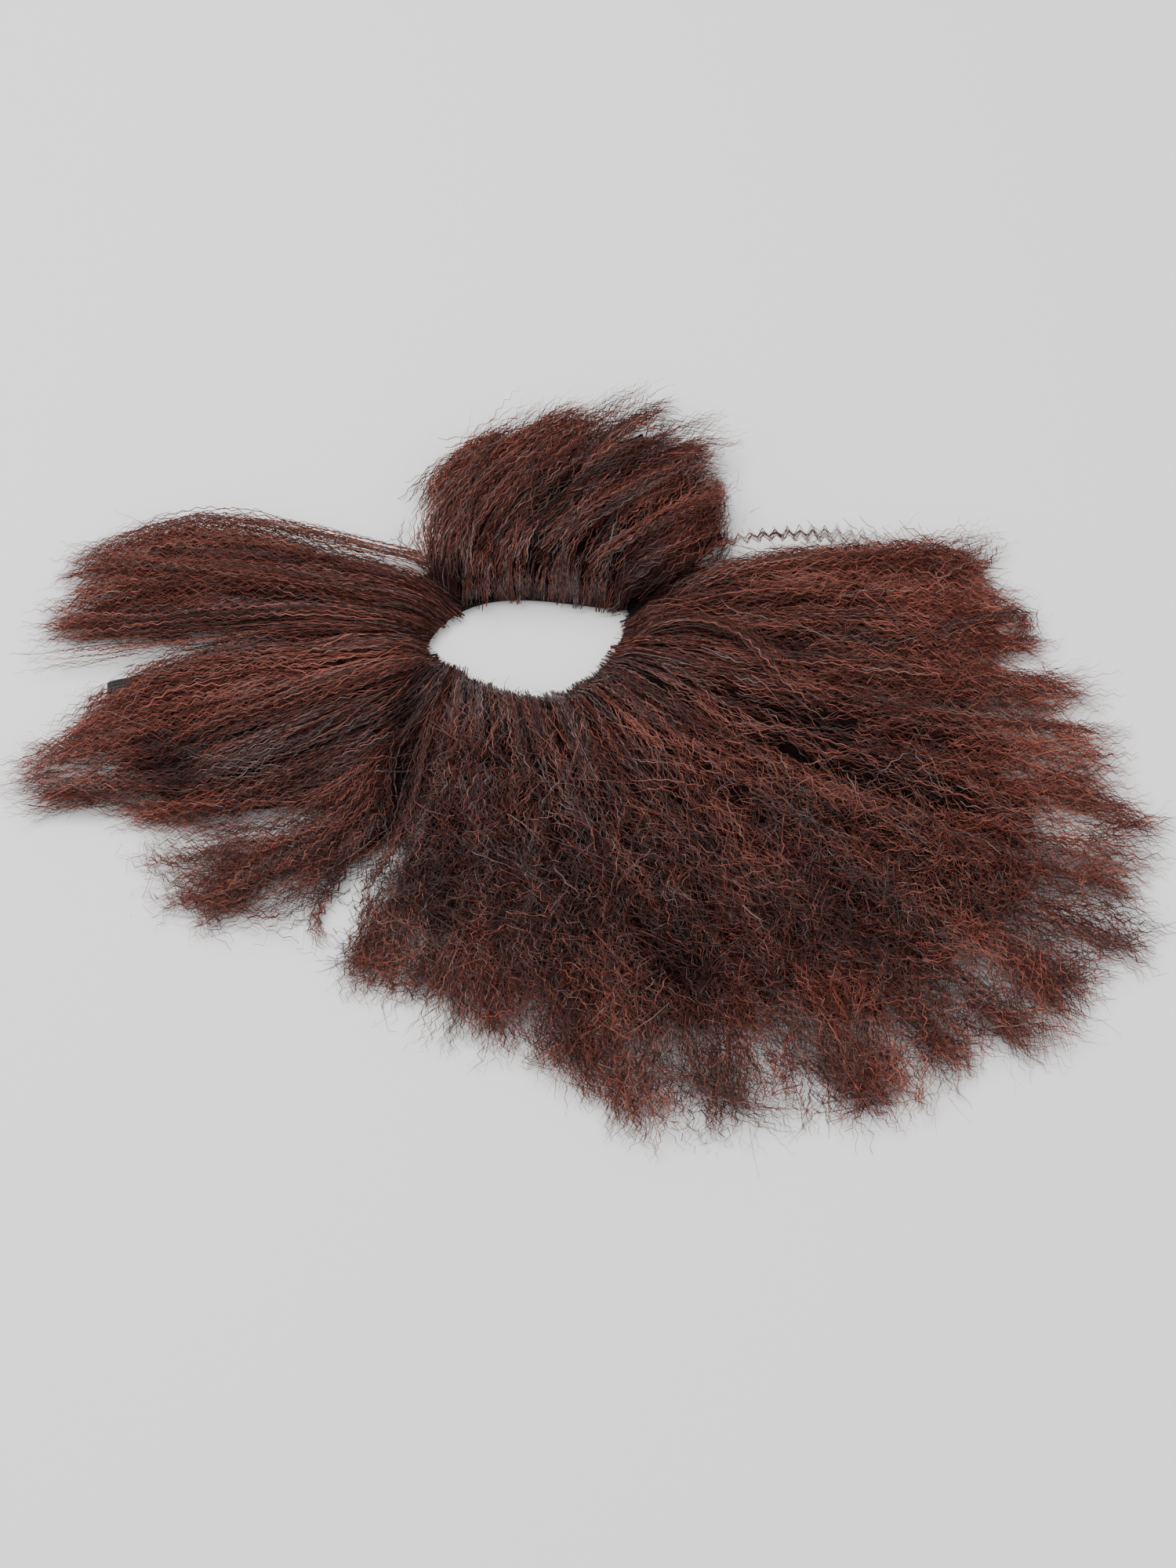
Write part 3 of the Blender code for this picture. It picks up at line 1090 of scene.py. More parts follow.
    def patch_line(
        self,
        hair: HairField,
        grid: np.ndarray,
        place: float,
        share: float,
        length: float,
        turn: float,
    ) -> tuple[np.ndarray, float, float]:
        """Centre line of a short patch that lies on the bundle's form at an angle to its flow.

        Args:
            hair: the field, for its random draws.
            grid: the bundle's form.
            place: the patch's place across.
            share: its share of the bundle's length.
            length: its own length.
            turn: its angle to the flow, in radians.

        Returns:
            The line's samples, and the shares of the bundle's length at its ends.
        """
        style, draw = self.style, hair.draw
        count = len(self.locks)
        samples = np.linspace(0.0, 1.0, PATCH_SAMPLES)
        spots = self.locate(
            grid,
            place + np.array([-0.1, 0.1, 0.0, 0.0]),
            np.clip(share + np.array([0.0, 0.0, -0.03, 0.03]), 0.0, 1.0),
        )
        side = spots[1, :2] - spots[0, :2]
        wide = max(1.0, float(np.linalg.norm(side)))
        side /= wide
        deep = max(20.0, float(np.linalg.norm(spots[3, :2] - spots[2, :2])) / 0.06)
        ahead = length * math.cos(turn) * (samples - 0.5) / deep
        aside = length * math.sin(turn) * (samples - 0.5) + draw.normal(0.0, 2.0) * samples**2
        shares = np.clip(share + ahead, 0.0, style.longest + 0.02)
        rate = 1.3 * style.sweep * (1.0 - place / count) * share**0.3
        swept = np.clip(place + rate * (shares - share), 0.0, count)
        form = self.locate(grid, np.clip(swept + 0.2 * aside / wide, 0.0, count), shares)
        plan = self.locate(grid, swept, shares)[:, :2] + side * aside[:, None]
        lift = 0.9 * self.mottle(place, share, 2) * math.sin(math.pi * share)
        lift += draw.uniform(-1.2, 0.5)
        slope = draw.normal(0.0, 0.7) * (2.0 * samples - 1.0)
        height = np.maximum(form[:, 3] + lift + slope, form[:, 2])
        rise = np.clip(shares / 0.03, 0.0, 1.0) ** 0.7
        height = self.root_height + (height - self.root_height) * rise
        return np.column_stack([plan, height]), float(shares[0]), float(shares[-1])

    def lay_roots(self, hair: HairField, grid: np.ndarray) -> None:
        """Add the short dense hair along the mouth's rim.

        Args:
            hair: the field that it goes into.
            grid: the bundle's form.
        """
        style, draw = self.style, hair.draw
        count = len(self.locks)
        samples = np.linspace(0.0, 1.0, RIM_SAMPLES)
        wave = Wave(length=4.2, root=0.22, tip=0.4, loose=0.3)
        for _ in range(style.roots):
            shares = samples * draw.uniform(*style.root_run)
            place = draw.uniform(0.0, count)
            place += draw.normal(0.0, 0.05) * samples + style.sweep * (1.0 - place / count) * shares**1.1
            across = np.clip(place, 0.0, count)
            centre = self.centre_line(hair, grid, across, shares, draw.uniform(-0.03, 0.25))
            short = Tuft(strands=9, radius=1.5, wave=wave, frizz=0.5, curl=0.5)
            # hair at the rim a little darker and greyer: painted shade and painted sheen at the roots
            light = style.tuft.light + draw.normal(-0.08, 0.12)
            hair.comb(centre, replace(short, ash=style.tuft.ash + 0.15, light=light, pinch=0.9, trim=0.3))

    def lay_strays(self, hair: HairField, grid: np.ndarray) -> None:
        """Add loose single strands on top.

        Args:
            hair: the field that they go into.
            grid: the bundle's form.
        """
        style, draw = self.style, hair.draw
        tuft = style.tuft
        count = len(self.locks)
        samples = np.linspace(0.0, 1.0, LONG_SAMPLES)
        for _ in range(int(style.tufts * tuft.strands * style.flyaway / 3.0)):
            start, end = draw.uniform(0.0, 0.4), draw.uniform(0.8, 1.02)
            span = start + (end - start) * samples
            across = draw.uniform(0.0, count) + draw.normal(0.0, 0.5) * samples
            spot = self.locate(grid, np.clip(across, 0.0, count), span)
            height = spot[:, 3] + draw.uniform(0.2, 2.0) * np.sin(math.pi * samples)
            centre = np.column_stack([spot[:, :2], height])
            stray = replace(tuft, strands=3, radius=4.0, frizz=1.8 * tuft.frizz, width=0.26)
            hair.comb(centre, stray)

    def lay_tresses(self, hair: HairField) -> None:
        """Lay the single locks that lie on the bundle.

        Args:
            hair: the field that they go into.
        """
        draw = hair.draw
        for tress in self.tresses:
            points = np.array(tress.path, float)
            last = points[-1] - points[-2]
            whole = np.linalg.norm(np.diff(points, axis=0), axis=1).sum()
            points[-1] += 0.07 * whole * last / np.linalg.norm(last)
            points[-1, 2] = max(points[-1, 2], 0.5)
            path = smooth_path(points, TRESS_SAMPLES)
            grow = np.interp(np.linspace(0.0, 1.0, TRESS_SAMPLES), [0.0, 0.3, 1.0], [0.4, 1.0, 1.1])
            for _ in range(tress.tufts):
                offset = draw.normal(0.0, 0.5 * tress.radius, 3) * (1.0, 1.0, 0.4)
                tuft = Tuft(
                    strands=tress.strands,
                    radius=tress.radius * draw.uniform(0.6, 1.0),
                    wave=Wave(tress.crimp, 0.3, tress.swing, tress.upright, tress.loose),
                    width=tress.width,
                    frizz=tress.frizz,
                    curl=tress.curl,
                    ash=tress.ash,
                    light=tress.light + draw.normal(0.0, 0.08),
                    trim=0.1,
                )
                hair.comb(path + offset * grow[:, None], tuft)

    def build(
        self,
        rim: Rim,
        shift: np.ndarray,
        finish: bpy.types.Material,
        under_finish: bpy.types.Material,
    ) -> bpy.types.Object:
        """Make the bundle's piece.

        Args:
            rim: the mouth opening's edge.
            shift: place of the mouth opening's middle, in metres.
            finish: the hair material.
            under_finish: the matt material of the under-hair, whose near-black tint is painted shade.

        Returns:
            The piece.
        """
        hair = HairField(self.seed)
        grid = self.grid(rim)
        under = self.lay_core(hair, grid)
        self.lay_tufts(hair, grid)
        self.lay_thatch(hair, grid)
        self.lay_roots(hair, grid)
        self.lay_tresses(hair)
        self.lay_strays(hair, grid)
        piece = hair.finish(self.name, shift)
        piece.data.materials.append(finish)
        piece.data.materials.append(under_finish)
        slots = np.zeros(len(piece.data.polygons), np.int32)
        slots[:under] = 1
        piece.data.polygons.foreach_set("material_index", slots)
        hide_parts(self.node)
        return piece


@dataclass(frozen=True)
class ClothBase:
    """The flat cloth base round the mouth opening, with a rolled hem on its rim."""

    low: float = 1.7
    thick: float = 2.0
    steps: int = 168
    hem: float = 1.1
    flat: tuple[float, float] = (0.154, 0.104)
    area: float = 0.0093
    edge: tuple[tuple[float, float, float], ...] = (
        (0.00, -70.0, 9.0),
        (0.10, -62.0, 24.0),
        (0.30, -34.0, 38.0),
        (0.50, 2.0, 38.0),
        (0.72, 40.0, 31.0),
        (0.92, 72.0, 19.0),
        (1.00, 83.0, 6.0),
        (1.08, 80.0, -10.0),
        (1.25, 52.0, -44.0),
        (1.50, 8.0, -64.0),
        (1.75, -40.0, -46.0),
        (1.92, -65.0, -9.0),
    )

    def outline(self, count: int) -> np.ndarray:
        """Outer edge in plan.

        Args:
            count: how many points.

        Returns:
            The points, evenly spread round the mouth.
        """
        rows = np.array(self.edge)
        spots = np.arange(count) * 2.0 / count
        points = []
        for spot in spots:
            i = int(np.searchsorted(rows[:, 0], spot + 1e-9) - 1)
            a, b = rows[i - 1, 1:], rows[i, 1:]
            c, d = rows[(i + 1) % len(rows), 1:], rows[(i + 2) % len(rows), 1:]
            span = (rows[(i + 1) % len(rows), 0] - rows[i, 0]) % 2.0
            t = (spot - rows[i, 0]) / span
            bend = (2 * a - 5 * b + 4 * c - d) * t**2 + (3 * b - a - 3 * c + d) * t**3
            points.append(0.5 * (2 * b + (c - a) * t + bend))
        return np.array(points)

    def shift(self) -> np.ndarray:
        """Find the middle of the mouth opening.

        Returns:
            Its place in the row frame, in metres.
        """
        plan = self.outline(BASE_POINTS) * MM
        low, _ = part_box("backing")
        return np.array([low.x - plan[:, 0].min(), low.y - plan[:, 1].min(), 0.0])

    def build(self, rim: Rim, shift: np.ndarray, finish: bpy.types.Material) -> bpy.types.Object:
        """Make the base.

        Args:
            rim: the mouth opening's edge.
            shift: place of the mouth opening's middle, in metres.
            finish: the cloth material.

        Returns:
            The piece.
        """
        spots = np.arange(self.steps) * 2.0 / self.steps
        outer = self.outline(self.steps)
        inner = np.array([rim.point(s) for s in spots])
        top, r = self.low + self.thick, self.thick / 2.0
        section = [(self.hem, 0.0)]
        section += [(r - r * math.sin(a), r - r * math.cos(a)) for a in np.linspace(0.1, 3.04, 9)]
        section += [(self.hem, self.thick)]
        span = np.linalg.norm(outer - inner, axis=1)[:, None]
        away = (outer - inner) / span
        rings = []
        for inset, height in section:
            level = np.full(self.steps, self.low + height)
            rings.append(np.column_stack([inner + away * inset, level]))
        for part in np.linspace(0.15, 0.85, 6):
            sag = 0.12 * np.sin(np.arange(self.steps) * 0.9)
            level = np.full(self.steps, top) - 0.15 + 0.1 * sag
            rings.append(np.column_stack([inner + away * span * part, level]))
        for inset, height in reversed(section):
            level = np.full(self.steps, self.low + height)
            rings.append(np.column_stack([outer - away * inset, level]))
        verts = np.concatenate(rings) * MM + shift
        count, n = len(rings), self.steps
        i, j = np.meshgrid(np.arange(count), np.arange(n), indexing="ij")
        after, side = (i + 1) % count, (j + 1) % n
        quads = np.stack([i * n + j, i * n + side, after * n + side, after * n + j], -1)
        piece = add_mesh("base_cloth", verts, quads.reshape(-1, 4))
        piece.data.materials.append(finish)
        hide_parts("backing")
        return piece


@dataclass(frozen=True)
class ElasticStrap:
    """The woven band, folded over at the left and led back under the hair."""

    thick: float = 1.2
    half: float = 9.0
    run: tuple[tuple[float, float, float, float, float], ...] = (
        (-56.0, 9.2, 0.7, 90.0, 0.0),
        (-75.0, 9.3, 0.7, 90.0, 0.0),
        (-89.0, 9.4, 2.2, 90.0, 0.0),
        (-140.0, 9.4, 2.2, 89.0, 0.0),
        (-151.0, 9.4, 2.2, 81.7, 0.0),
        (-152.1, 9.3, 2.0, 81.7, 45.0),
        (-152.6, 9.2, 1.45, 81.7, 90.0),
        (-152.1, 9.1, 0.8, 81.7, 135.0),
        (-151.0, 9.0, 0.6, 81.7, 180.0),
        (-140.0, 6.0, 0.6, 74.0, 180.0),
        (-90.0, -9.0, 0.6, 73.0, 180.0),
        (-50.0, -22.0, 0.6, 73.0, 180.0),
        (-20.0, -32.0, 0.6, 77.0, 180.0),
        (8.0, -37.0, 0.6, 90.0, 180.0),
        (36.0, -33.0, 0.6, 110.0, 180.0),
        (60.0, -18.0, 0.6, 130.0, 180.0),
        (76.0, 0.0, 0.6, 138.0, 180.0),
    )

    def stations(self) -> np.ndarray:
        """The run, refined between its rows.

        Returns:
            Rows of x, y, z, heading of the width and lean of the face.
        """
        rows = np.array(self.run)
        made = []
        for a, b in zip(rows[:-1], rows[1:]):
            parts = max(1, int(np.linalg.norm((b - a)[:3]) / 3.0))
            made += [a + (b - a) * k / parts for k in range(parts)]
        made.append(rows[-1])
        return np.array(made)

    def build(self, shift: np.ndarray, finish: bpy.types.Material) -> bpy.types.Object:
        """Make the strap.

        Args:
            shift: place of the mouth opening's middle, in metres.
            finish: the elastic material.

        Returns:
            The piece.
        """
        rows = self.stations()
        t = self.thick / 2.0
        profile = [(-1.0, -0.45 * t), (-0.985, -t), (0.985, -t), (1.0, -0.45 * t)]
        profile += [(1.0, 0.45 * t), (0.985, t), (-0.985, t), (-1.0, 0.45 * t)]
        side, lean = np.radians(rows[:, 3]), np.radians(rows[:, 4])
        across = np.column_stack([np.cos(side), np.sin(side), np.zeros(len(rows))])
        out = np.column_stack([-np.sin(side), np.cos(side), np.zeros(len(rows))])
        face = out * np.sin(lean)[:, None]
        face[:, 2] += np.cos(lean)
        rings = [rows[:, :3] + across * self.half * a + face * b for a, b in profile]
        verts = np.stack(rings, 1).reshape(-1, 3) * MM + shift
        n, m = len(profile), len(rows)
        i, j = np.meshgrid(np.arange(m - 1), np.arange(n), indexing="ij")
        k = (j + 1) % n
        quads = np.stack([i * n + j, i * n + k, (i + 1) * n + k, (i + 1) * n + j], -1).reshape(-1, 4)
        ends = []
        for base in (0, (m - 1) * n):
            ends += [[base, base + 1, base + 6, base + 7], [base + 1, base + 2, base + 5, base + 6]]
            ends += [[base + 2, base + 3, base + 4, base + 5]]
        quads = np.concatenate([quads, np.array(ends)])
        piece = add_mesh("woven_strap", verts, quads)
        steps = np.linalg.norm(np.diff(rows[:, :3], axis=0), axis=1)
        arc = np.concatenate([[0.0], np.cumsum(steps)]) / steps.sum()
        level = np.array([0.02, 0.05, 0.45, 0.48, 0.52, 0.55, 0.95, 0.98, 1.0])
        near = np.stack([arc[i], level[j]], -1)
        near_next = np.stack([arc[i], level[j + 1]], -1)
        far_next = np.stack([arc[i + 1], level[j + 1]], -1)
        far = np.stack([arc[i + 1], level[j]], -1)
        spots = np.stack([near, near_next, far_next, far], 2).reshape(-1, 2)
        corner = [[0.001, 0.001], [0.004, 0.001], [0.004, 0.004], [0.001, 0.004]]
        caps = np.tile(corner, (len(ends), 1))
        add_map(piece, np.concatenate([spots, caps]))
        piece.data.materials.append(finish)
        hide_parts("elastic_strap")
        log.info("strap length %.0f mm", steps.sum())
        return piece


@dataclass(frozen=True)
class Studio:
    """The pale floor, the soft lights and the camera at the photograph's angle."""

    azimuth: float = -12.5
    elevation: float = 60.0
    distance: float = 1200.0
    scale: float = 0.28
    target: tuple[float, float] = (9.549, -59.915)
    sensor: float = 36.0
    image_height: float = 2000.0
    floor_reach: float = 3.0
    sky: float = 0.75
    lights: tuple[tuple[str, tuple[float, float, float], float, float], ...] = (
        ("key", (-0.35, 0.55, 1.3), 1.0, 17.0),
        ("fill", (0.7, -0.9, 1.2), 1.2, 8.0),
        ("side", (-1.2, -0.2, 0.8), 0.9, 5.0),
    )

    def build(self, shift: np.ndarray) -> None:
        """Set up the floor, lights and camera.

        Args:
            shift: place of the mouth opening's middle, in metres.
        """
        corners = np.array([[-1, -1, 0], [1, -1, 0], [1, 1, 0], [-1, 1, 0]]) * self.floor_reach
        floor = add_mesh("floor", corners, np.array([[0, 1, 2, 3]]))
        floor.data.materials.append(FloorFinish().material())
        for light in self.lights:
            self.add_light(*light)
        world = bpy.data.worlds.new("studio")
        world.use_nodes = True
        sky = world.node_tree.nodes["Background"]
        sky.inputs["Color"].default_value = (1.0, 1.0, 1.0, 1.0)
        sky.inputs["Strength"].default_value = self.sky
        bpy.context.scene.world = world
        self.add_camera(shift)

    def add_light(self, name: str, place: tuple[float, float, float], size: float, power: float) -> None:
        """Add a soft square light that faces the beard.

        Args:
            name: the light's name.
            place: where it hangs, in metres.
            size: length of its side in metres.
            power: power in watts.
        """
        lamp = bpy.data.lights.new(name, "AREA")
        lamp.size = size
        lamp.energy = power
        obj = bpy.data.objects.new(name, lamp)
        obj.location = place
        obj.rotation_euler = (-Vector(place)).to_track_quat("-Z", "Y").to_euler()
        bpy.context.scene.collection.objects.link(obj)

    def add_camera(self, shift: np.ndarray) -> None:
        """Add the camera.

        Args:
            shift: place of the mouth opening's middle, in metres.
        """
        turn, lift = math.radians(self.azimuth), math.radians(self.elevation)
        back = Vector(
            (
                math.sin(turn) * math.cos(lift),
                -math.cos(turn) * math.cos(lift),
                math.sin(lift),
            )
        )
        lens = bpy.data.cameras.new("camera")
        lens.sensor_width = self.sensor
        lens.lens = self.distance / self.scale * self.sensor / self.image_height
        lens.clip_start = 0.01
        camera = bpy.data.objects.new("camera", lens)
        aim = Vector((self.target[0] * MM + shift[0], self.target[1] * MM + shift[1], 0.0))
        camera.location = aim + back * self.distance * MM
        camera.rotation_euler = (-back).to_track_quat("-Z", "Y").to_euler()
        bpy.context.scene.collection.objects.link(camera)
        bpy.context.scene.camera = camera


TONES = (
    # corner beside the moustache, and the parting left of the chin: sunk and darkened with painted shade
    Tone(48, 10, 13, 7, -2, -0.35, 0.1, 3),
    Tone(-52, -37, 34, 7, -108, -0.42, 0.3, 4),
    # left side: hollow, lower band of the cheek and dark start of the cheek, all sunk and darkened with
    # painted shade
    Tone(-135, -24, 12, 9, -45, -0.5, 0.0, 5),
    Tone(-120, 35, 32, 4, -16, -0.22, 0.0, 2),
    Tone(-25, 31, 10, 6, -32, -0.3, 0.1, 2),
    # dark lock of the moustache
    Tone(23, 50, 36, 6, 20, -0.25, 0.1, 1.5),
    # dark bands on the right: sunk, with painted shade
    Tone(100, -32, 34, 4, -25, -0.2, 0.1, 0.8),
    Tone(113, -74, 41, 6, -25, -0.2, 0.1, 1.0),
    Tone(24, -139, 22, 8, -71, -0.35, 0.1, 4),
    Tone(83, -141, 35, 15, 0, -0.2, 0.1, 2),
    # darker, greyer ground of the chin, and the sunk under lock darkened with painted shade
    Tone(-26, -108, 37, 22, -13, -0.1, 0.2, 0),
    Tone(-55, -92, 10, 8, -13, -0.3, 0.2, 2),
    Tone(-80, -82, 11, 5, 4, -0.3, 0.0, 1),
    # red crests, raised and lightened with painted light
    Tone(116, -3, 34, 6, -19, 0.28, -0.25, 0),
    Tone(-84, 0, 46, 6, 179, 0.25, -0.2, 0),
    Tone(66, -76, 56, 6, -32, 0.25, -0.3, -0.6),
    Tone(15, -110, 18, 3, -68, 0.3, -0.2, -0.8),
    Tone(63, 41, 12, 8, 23, 0.15, -0.2, 0),
    Tone(-98, 65, 38, 5, -13, 0.15, -0.2, 0),
    Tone(173, -110, 34, 14, -87, 0.12, -0.2, 0),
    Tone(111, -124, 22, 8, -27, 0.12, 0.0, 0),
    # grey sheen
    Tone(-21, -30, 16, 14, -65, 0.34, 0.4, 0),
    Tone(4, -74, 18, 9, -76, 0.18, 0.3, 0),
    Tone(-108, -25, 22, 12, -12, -0.02, 0.7, 0),
    Tone(69, -25, 15, 6, -58, 0.1, 0.5, 0),
    Tone(18, 25, 28, 7, -6, 0.08, 0.3, 0),
    Tone(-28, -10, 15, 4, -48, 0.25, 0.6, 0),
    # thin places where the floor shows through
    Tone(-109, -53, 30, 6.2, -7, thin=0.7),
    Tone(-164, -19, 15, 3.7, -13, thin=0.8),
    Tone(-128, -18, 7, 1.8, -12, thin=0.5),
    Tone(-52, 48, 31, 2.0, 153, thin=0.7),
    Tone(-81, -92, 12, 3.1, -113, thin=0.8),
    Tone(58, -177, 25, 6.2, -89, thin=0.55),
    Tone(165, -66, 11, 2.0, -22, thin=0.6),
    Tone(70, 40, 4, 2.2, -69, thin=0.7),
    Tone(52, 72, 19, 1.8, 13, thin=0.95),
    Tone(79, 72, 11, 1.5, -3, thin=0.9),
    Tone(29, 44, 4, 2.5, -81, thin=0.5),
    Tone(88, 40, 20, 3.4, -98, thin=0.9),
    Tone(172, -47, 8, 4.3, -20, thin=0.95),
    Tone(-136, 24, 25, 2.8, -2, thin=0.8),
    # bare corner of the strap and bare hem of the base
    Tone(-149, 17, 7, 5, -46, thin=1.0),
    Tone(-13, 21, 8, 2.0, -5, thin=1.0),
)


def partings(*rows: tuple[float, float, float, float, float]) -> tuple[Parting, ...]:
    """Partings from rows of round, leave, end_x, end_y and arrive."""
    return tuple(Parting(*row) for row in rows)


def locks(*rows: tuple[float, float, float]) -> tuple[Lock, ...]:
    """Locks from rows of out, lean and height."""
    return tuple(Lock(*row) for row in rows)


def tip(*path: tuple[float, float, float]) -> Tress:
    """Frizzy end of a lock, from the points of its path."""
    return Tress(path, radius=6.0, tufts=3, strands=10, light=0.45, ash=0.2, curl=8.0, swing=1.2, frizz=2.0)


MOUSTACHE = HairBundle(
    name="moustache_strands",
    node="moustache_hair",
    seed=11,
    free=(True, True),
    swell=(0.35, 0.85, 1.0, 1.05, 1.0, 0.95, 0.85, 0.7, 0.5, 0.2),
    bed=(4.1, 4.1, 4.1, 4.1, 4.1, 4.1, 4.1, 3.0, 1.5, 0.0),
    grip=0.3,
    partings=partings(
        (0.240, 140, -9, 88, 36),
        (0.420, 114, 22, 93, 36),
        (0.610, 96, 54, 88, 40),
        (0.790, 74, 79, 76, 24),
        (0.915, 36, 88, 62, 30),
        (0.972, 10, 85, 38, 98),
    ),
    locks=locks((9, 0.1, 21), (18, 0.9, 26), (20, 0.6, 28), (11, 0.2, 24), (6, -0.3, 20)),
    style=HairStyle(
        tufts=34,
        tuft=Tuft(strands=14, radius=3.6, wave=Wave(5.0, 0.3, 0.6), ash=0.32, light=0.46, frizz=1.2),
        sweep=2.1,
        longest=0.97,
        roots=100,
        root_run=(0.08, 0.26),
        thatch=520,
        fray=18.0,
        patch=(16.0, 38.0),
        bury=0.1,
        stretch=1.3,
    ),
    tresses=(
        Tress(
            (
                (-15, 28, 6),
                (-8, 35, 16),
                (4, 46, 22),
                (18, 58, 22),
                (34, 69, 20),
                (50, 82, 16),
                (65, 91, 12),
            ),
            tufts=5,
            curl=2.0,
        ),
        Tress(
            (
                (-20, 28, 6),
                (-16, 35, 15),
                (-7, 47, 20),
                (6, 59, 21),
                (22, 72, 18),
                (38, 83, 14),
                (59, 94, 11),
            ),
            tufts=4,
        ),
        Tress(
            (
                (-4, 25, 6),
                (3, 31, 18),
                (17, 39, 25),
                (32, 50, 25),
                (51, 62, 21),
                (72, 72, 15),
                (87, 76, 12),
            ),
            radius=4.4,
            tufts=7,
            light=0.24,
            ash=0.3,
            curl=2.0,
        ),
        Tress(
            ((11, 28, 22), (35, 42, 25), (59, 58, 18), (79, 65, 13), (92, 68, 10)),
            radius=1.6,
            tufts=2,
        ),
        Tress(
            ((7, 22, 6), (16, 27, 20), (30, 33, 27), (47, 41, 25), (64, 51, 20), (78, 56, 14)),
            ash=0.3,
        ),
        Tress(
            ((21, 18, 6), (29, 21, 19), (43, 25, 26), (59, 33, 23), (76, 40, 17), (86, 46, 12)),
            ash=0.3,
        ),
        Tress(
            ((32, 15, 6), (41, 16, 17), (55, 19, 21), (68, 25, 17), (80, 36, 12), (85, 45, 10)),
            ash=0.25,
        ),
        Tress(((37, 10, 6), (47, 11, 13), (59, 15, 15), (69, 22, 12), (76, 32, 9)), ash=0.2),
        Tress(
            (
                (-27, 29, 6),
                (-27, 39, 12),
                (-22, 50, 15),
                (-12, 62, 16),
                (1, 76, 14),
                (15, 86, 11),
                (28, 93, 9),
            ),
            radius=5.0,
            tufts=3,
            light=0.55,
            curl=6.0,
            frizz=1.5,
        ),
        Tress(
            ((-25, 33, 8), (-27, 47, 12), (-23, 61, 12), (-14, 74, 11), (-4, 85, 9)),
            radius=5.5,
            tufts=2,
            light=0.6,
            ash=0.1,
            frizz=2.0,
        ),
        Tress(
            ((-20, 42, 12), (-17, 58, 14), (-7, 73, 13), (5, 85, 11), (19, 94, 8)),
            radius=5.5,
            tufts=3,
            light=0.6,
            ash=0.1,
            frizz=2.0,
        ),
        Tress(
            ((-26, 31, 5), (-32, 41, 9), (-34, 50, 10), (-30, 60, 9)),
            radius=4.0,
            tufts=2,
            strands=7,
            light=0.5,
            frizz=2.0,
        ),
        Tress(
            ((-27, 33, 6), (-35, 44, 7), (-39, 50, 6), (-42, 54, 4)),
            radius=3.5,
            tufts=2,
            strands=6,
            light=0.5,
            frizz=2.0,
        ),
        Tress(((-24, 28, 6), (-23, 39, 14), (-14, 52, 18), (2, 66, 19), (23, 81, 15), (41, 91, 11))),
    ),
)

LEFT_CHEEK = HairBundle(
    name="left_cheek_strands",
    node="left_cheek_hair",
    seed=23,
    free=(False, True),
    swell=(0.4, 0.8, 1.0, 1.0, 0.95, 0.85, 0.75, 0.65, 0.5, 0.25),
    bed=(4.1, 4.1, 4.1, 4.1, 4.1, 4.1, 3.4, 3.4, 1.5, 0.0),
    partings=partings(
        (0.015, 164, -158, 37, -180),
        (0.100, 158, -162, 48, -178),
        (0.160, 148, -157, 60, -178),
        (0.216, 133, -151, 75, -162),
    ),
    locks=locks((11, -0.2, 13), (9, 0.2, 15), (5, 0.4, 12)),
    style=HairStyle(
        tufts=22,
        tuft=Tuft(strands=15, radius=3.8, wave=Wave(5.4, 0.25, 1.0), ash=0.2, light=0.44, frizz=1.6),
        roots=30,
        thatch=250,
        fray=14.0,
        patch=(25.0, 50.0),
    ),
    tresses=(
        Tress(
            (
                (-15, 29, 6),
                (-29, 40, 9),
                (-46, 50, 9),
                (-67, 62, 9),
                (-86, 72, 9),
                (-106, 79, 8),
                (-119, 79, 7),
                (-142, 77, 6),
                (-151, 76, 5),
            ),
            radius=3.0,
            tufts=4,
            strands=11,
            light=0.55,
            swing=0.9,
        ),
        Tress(((-33, 18, 5), (-50, 27, 12), (-71, 39, 15), (-98, 50, 14), (-126, 62, 10), (-154, 74, 6))),
        Tress(((-34, 15, 5), (-55, 19, 13), (-79, 25, 15), (-110, 31, 13), (-141, 37, 9), (-170, 46, 5))),
        Tress(((-34, 13, 5), (-55, 15, 11), (-81, 19, 12), (-109, 23, 9), (-146, 28, 6), (-173, 32, 3))),
    ),
)

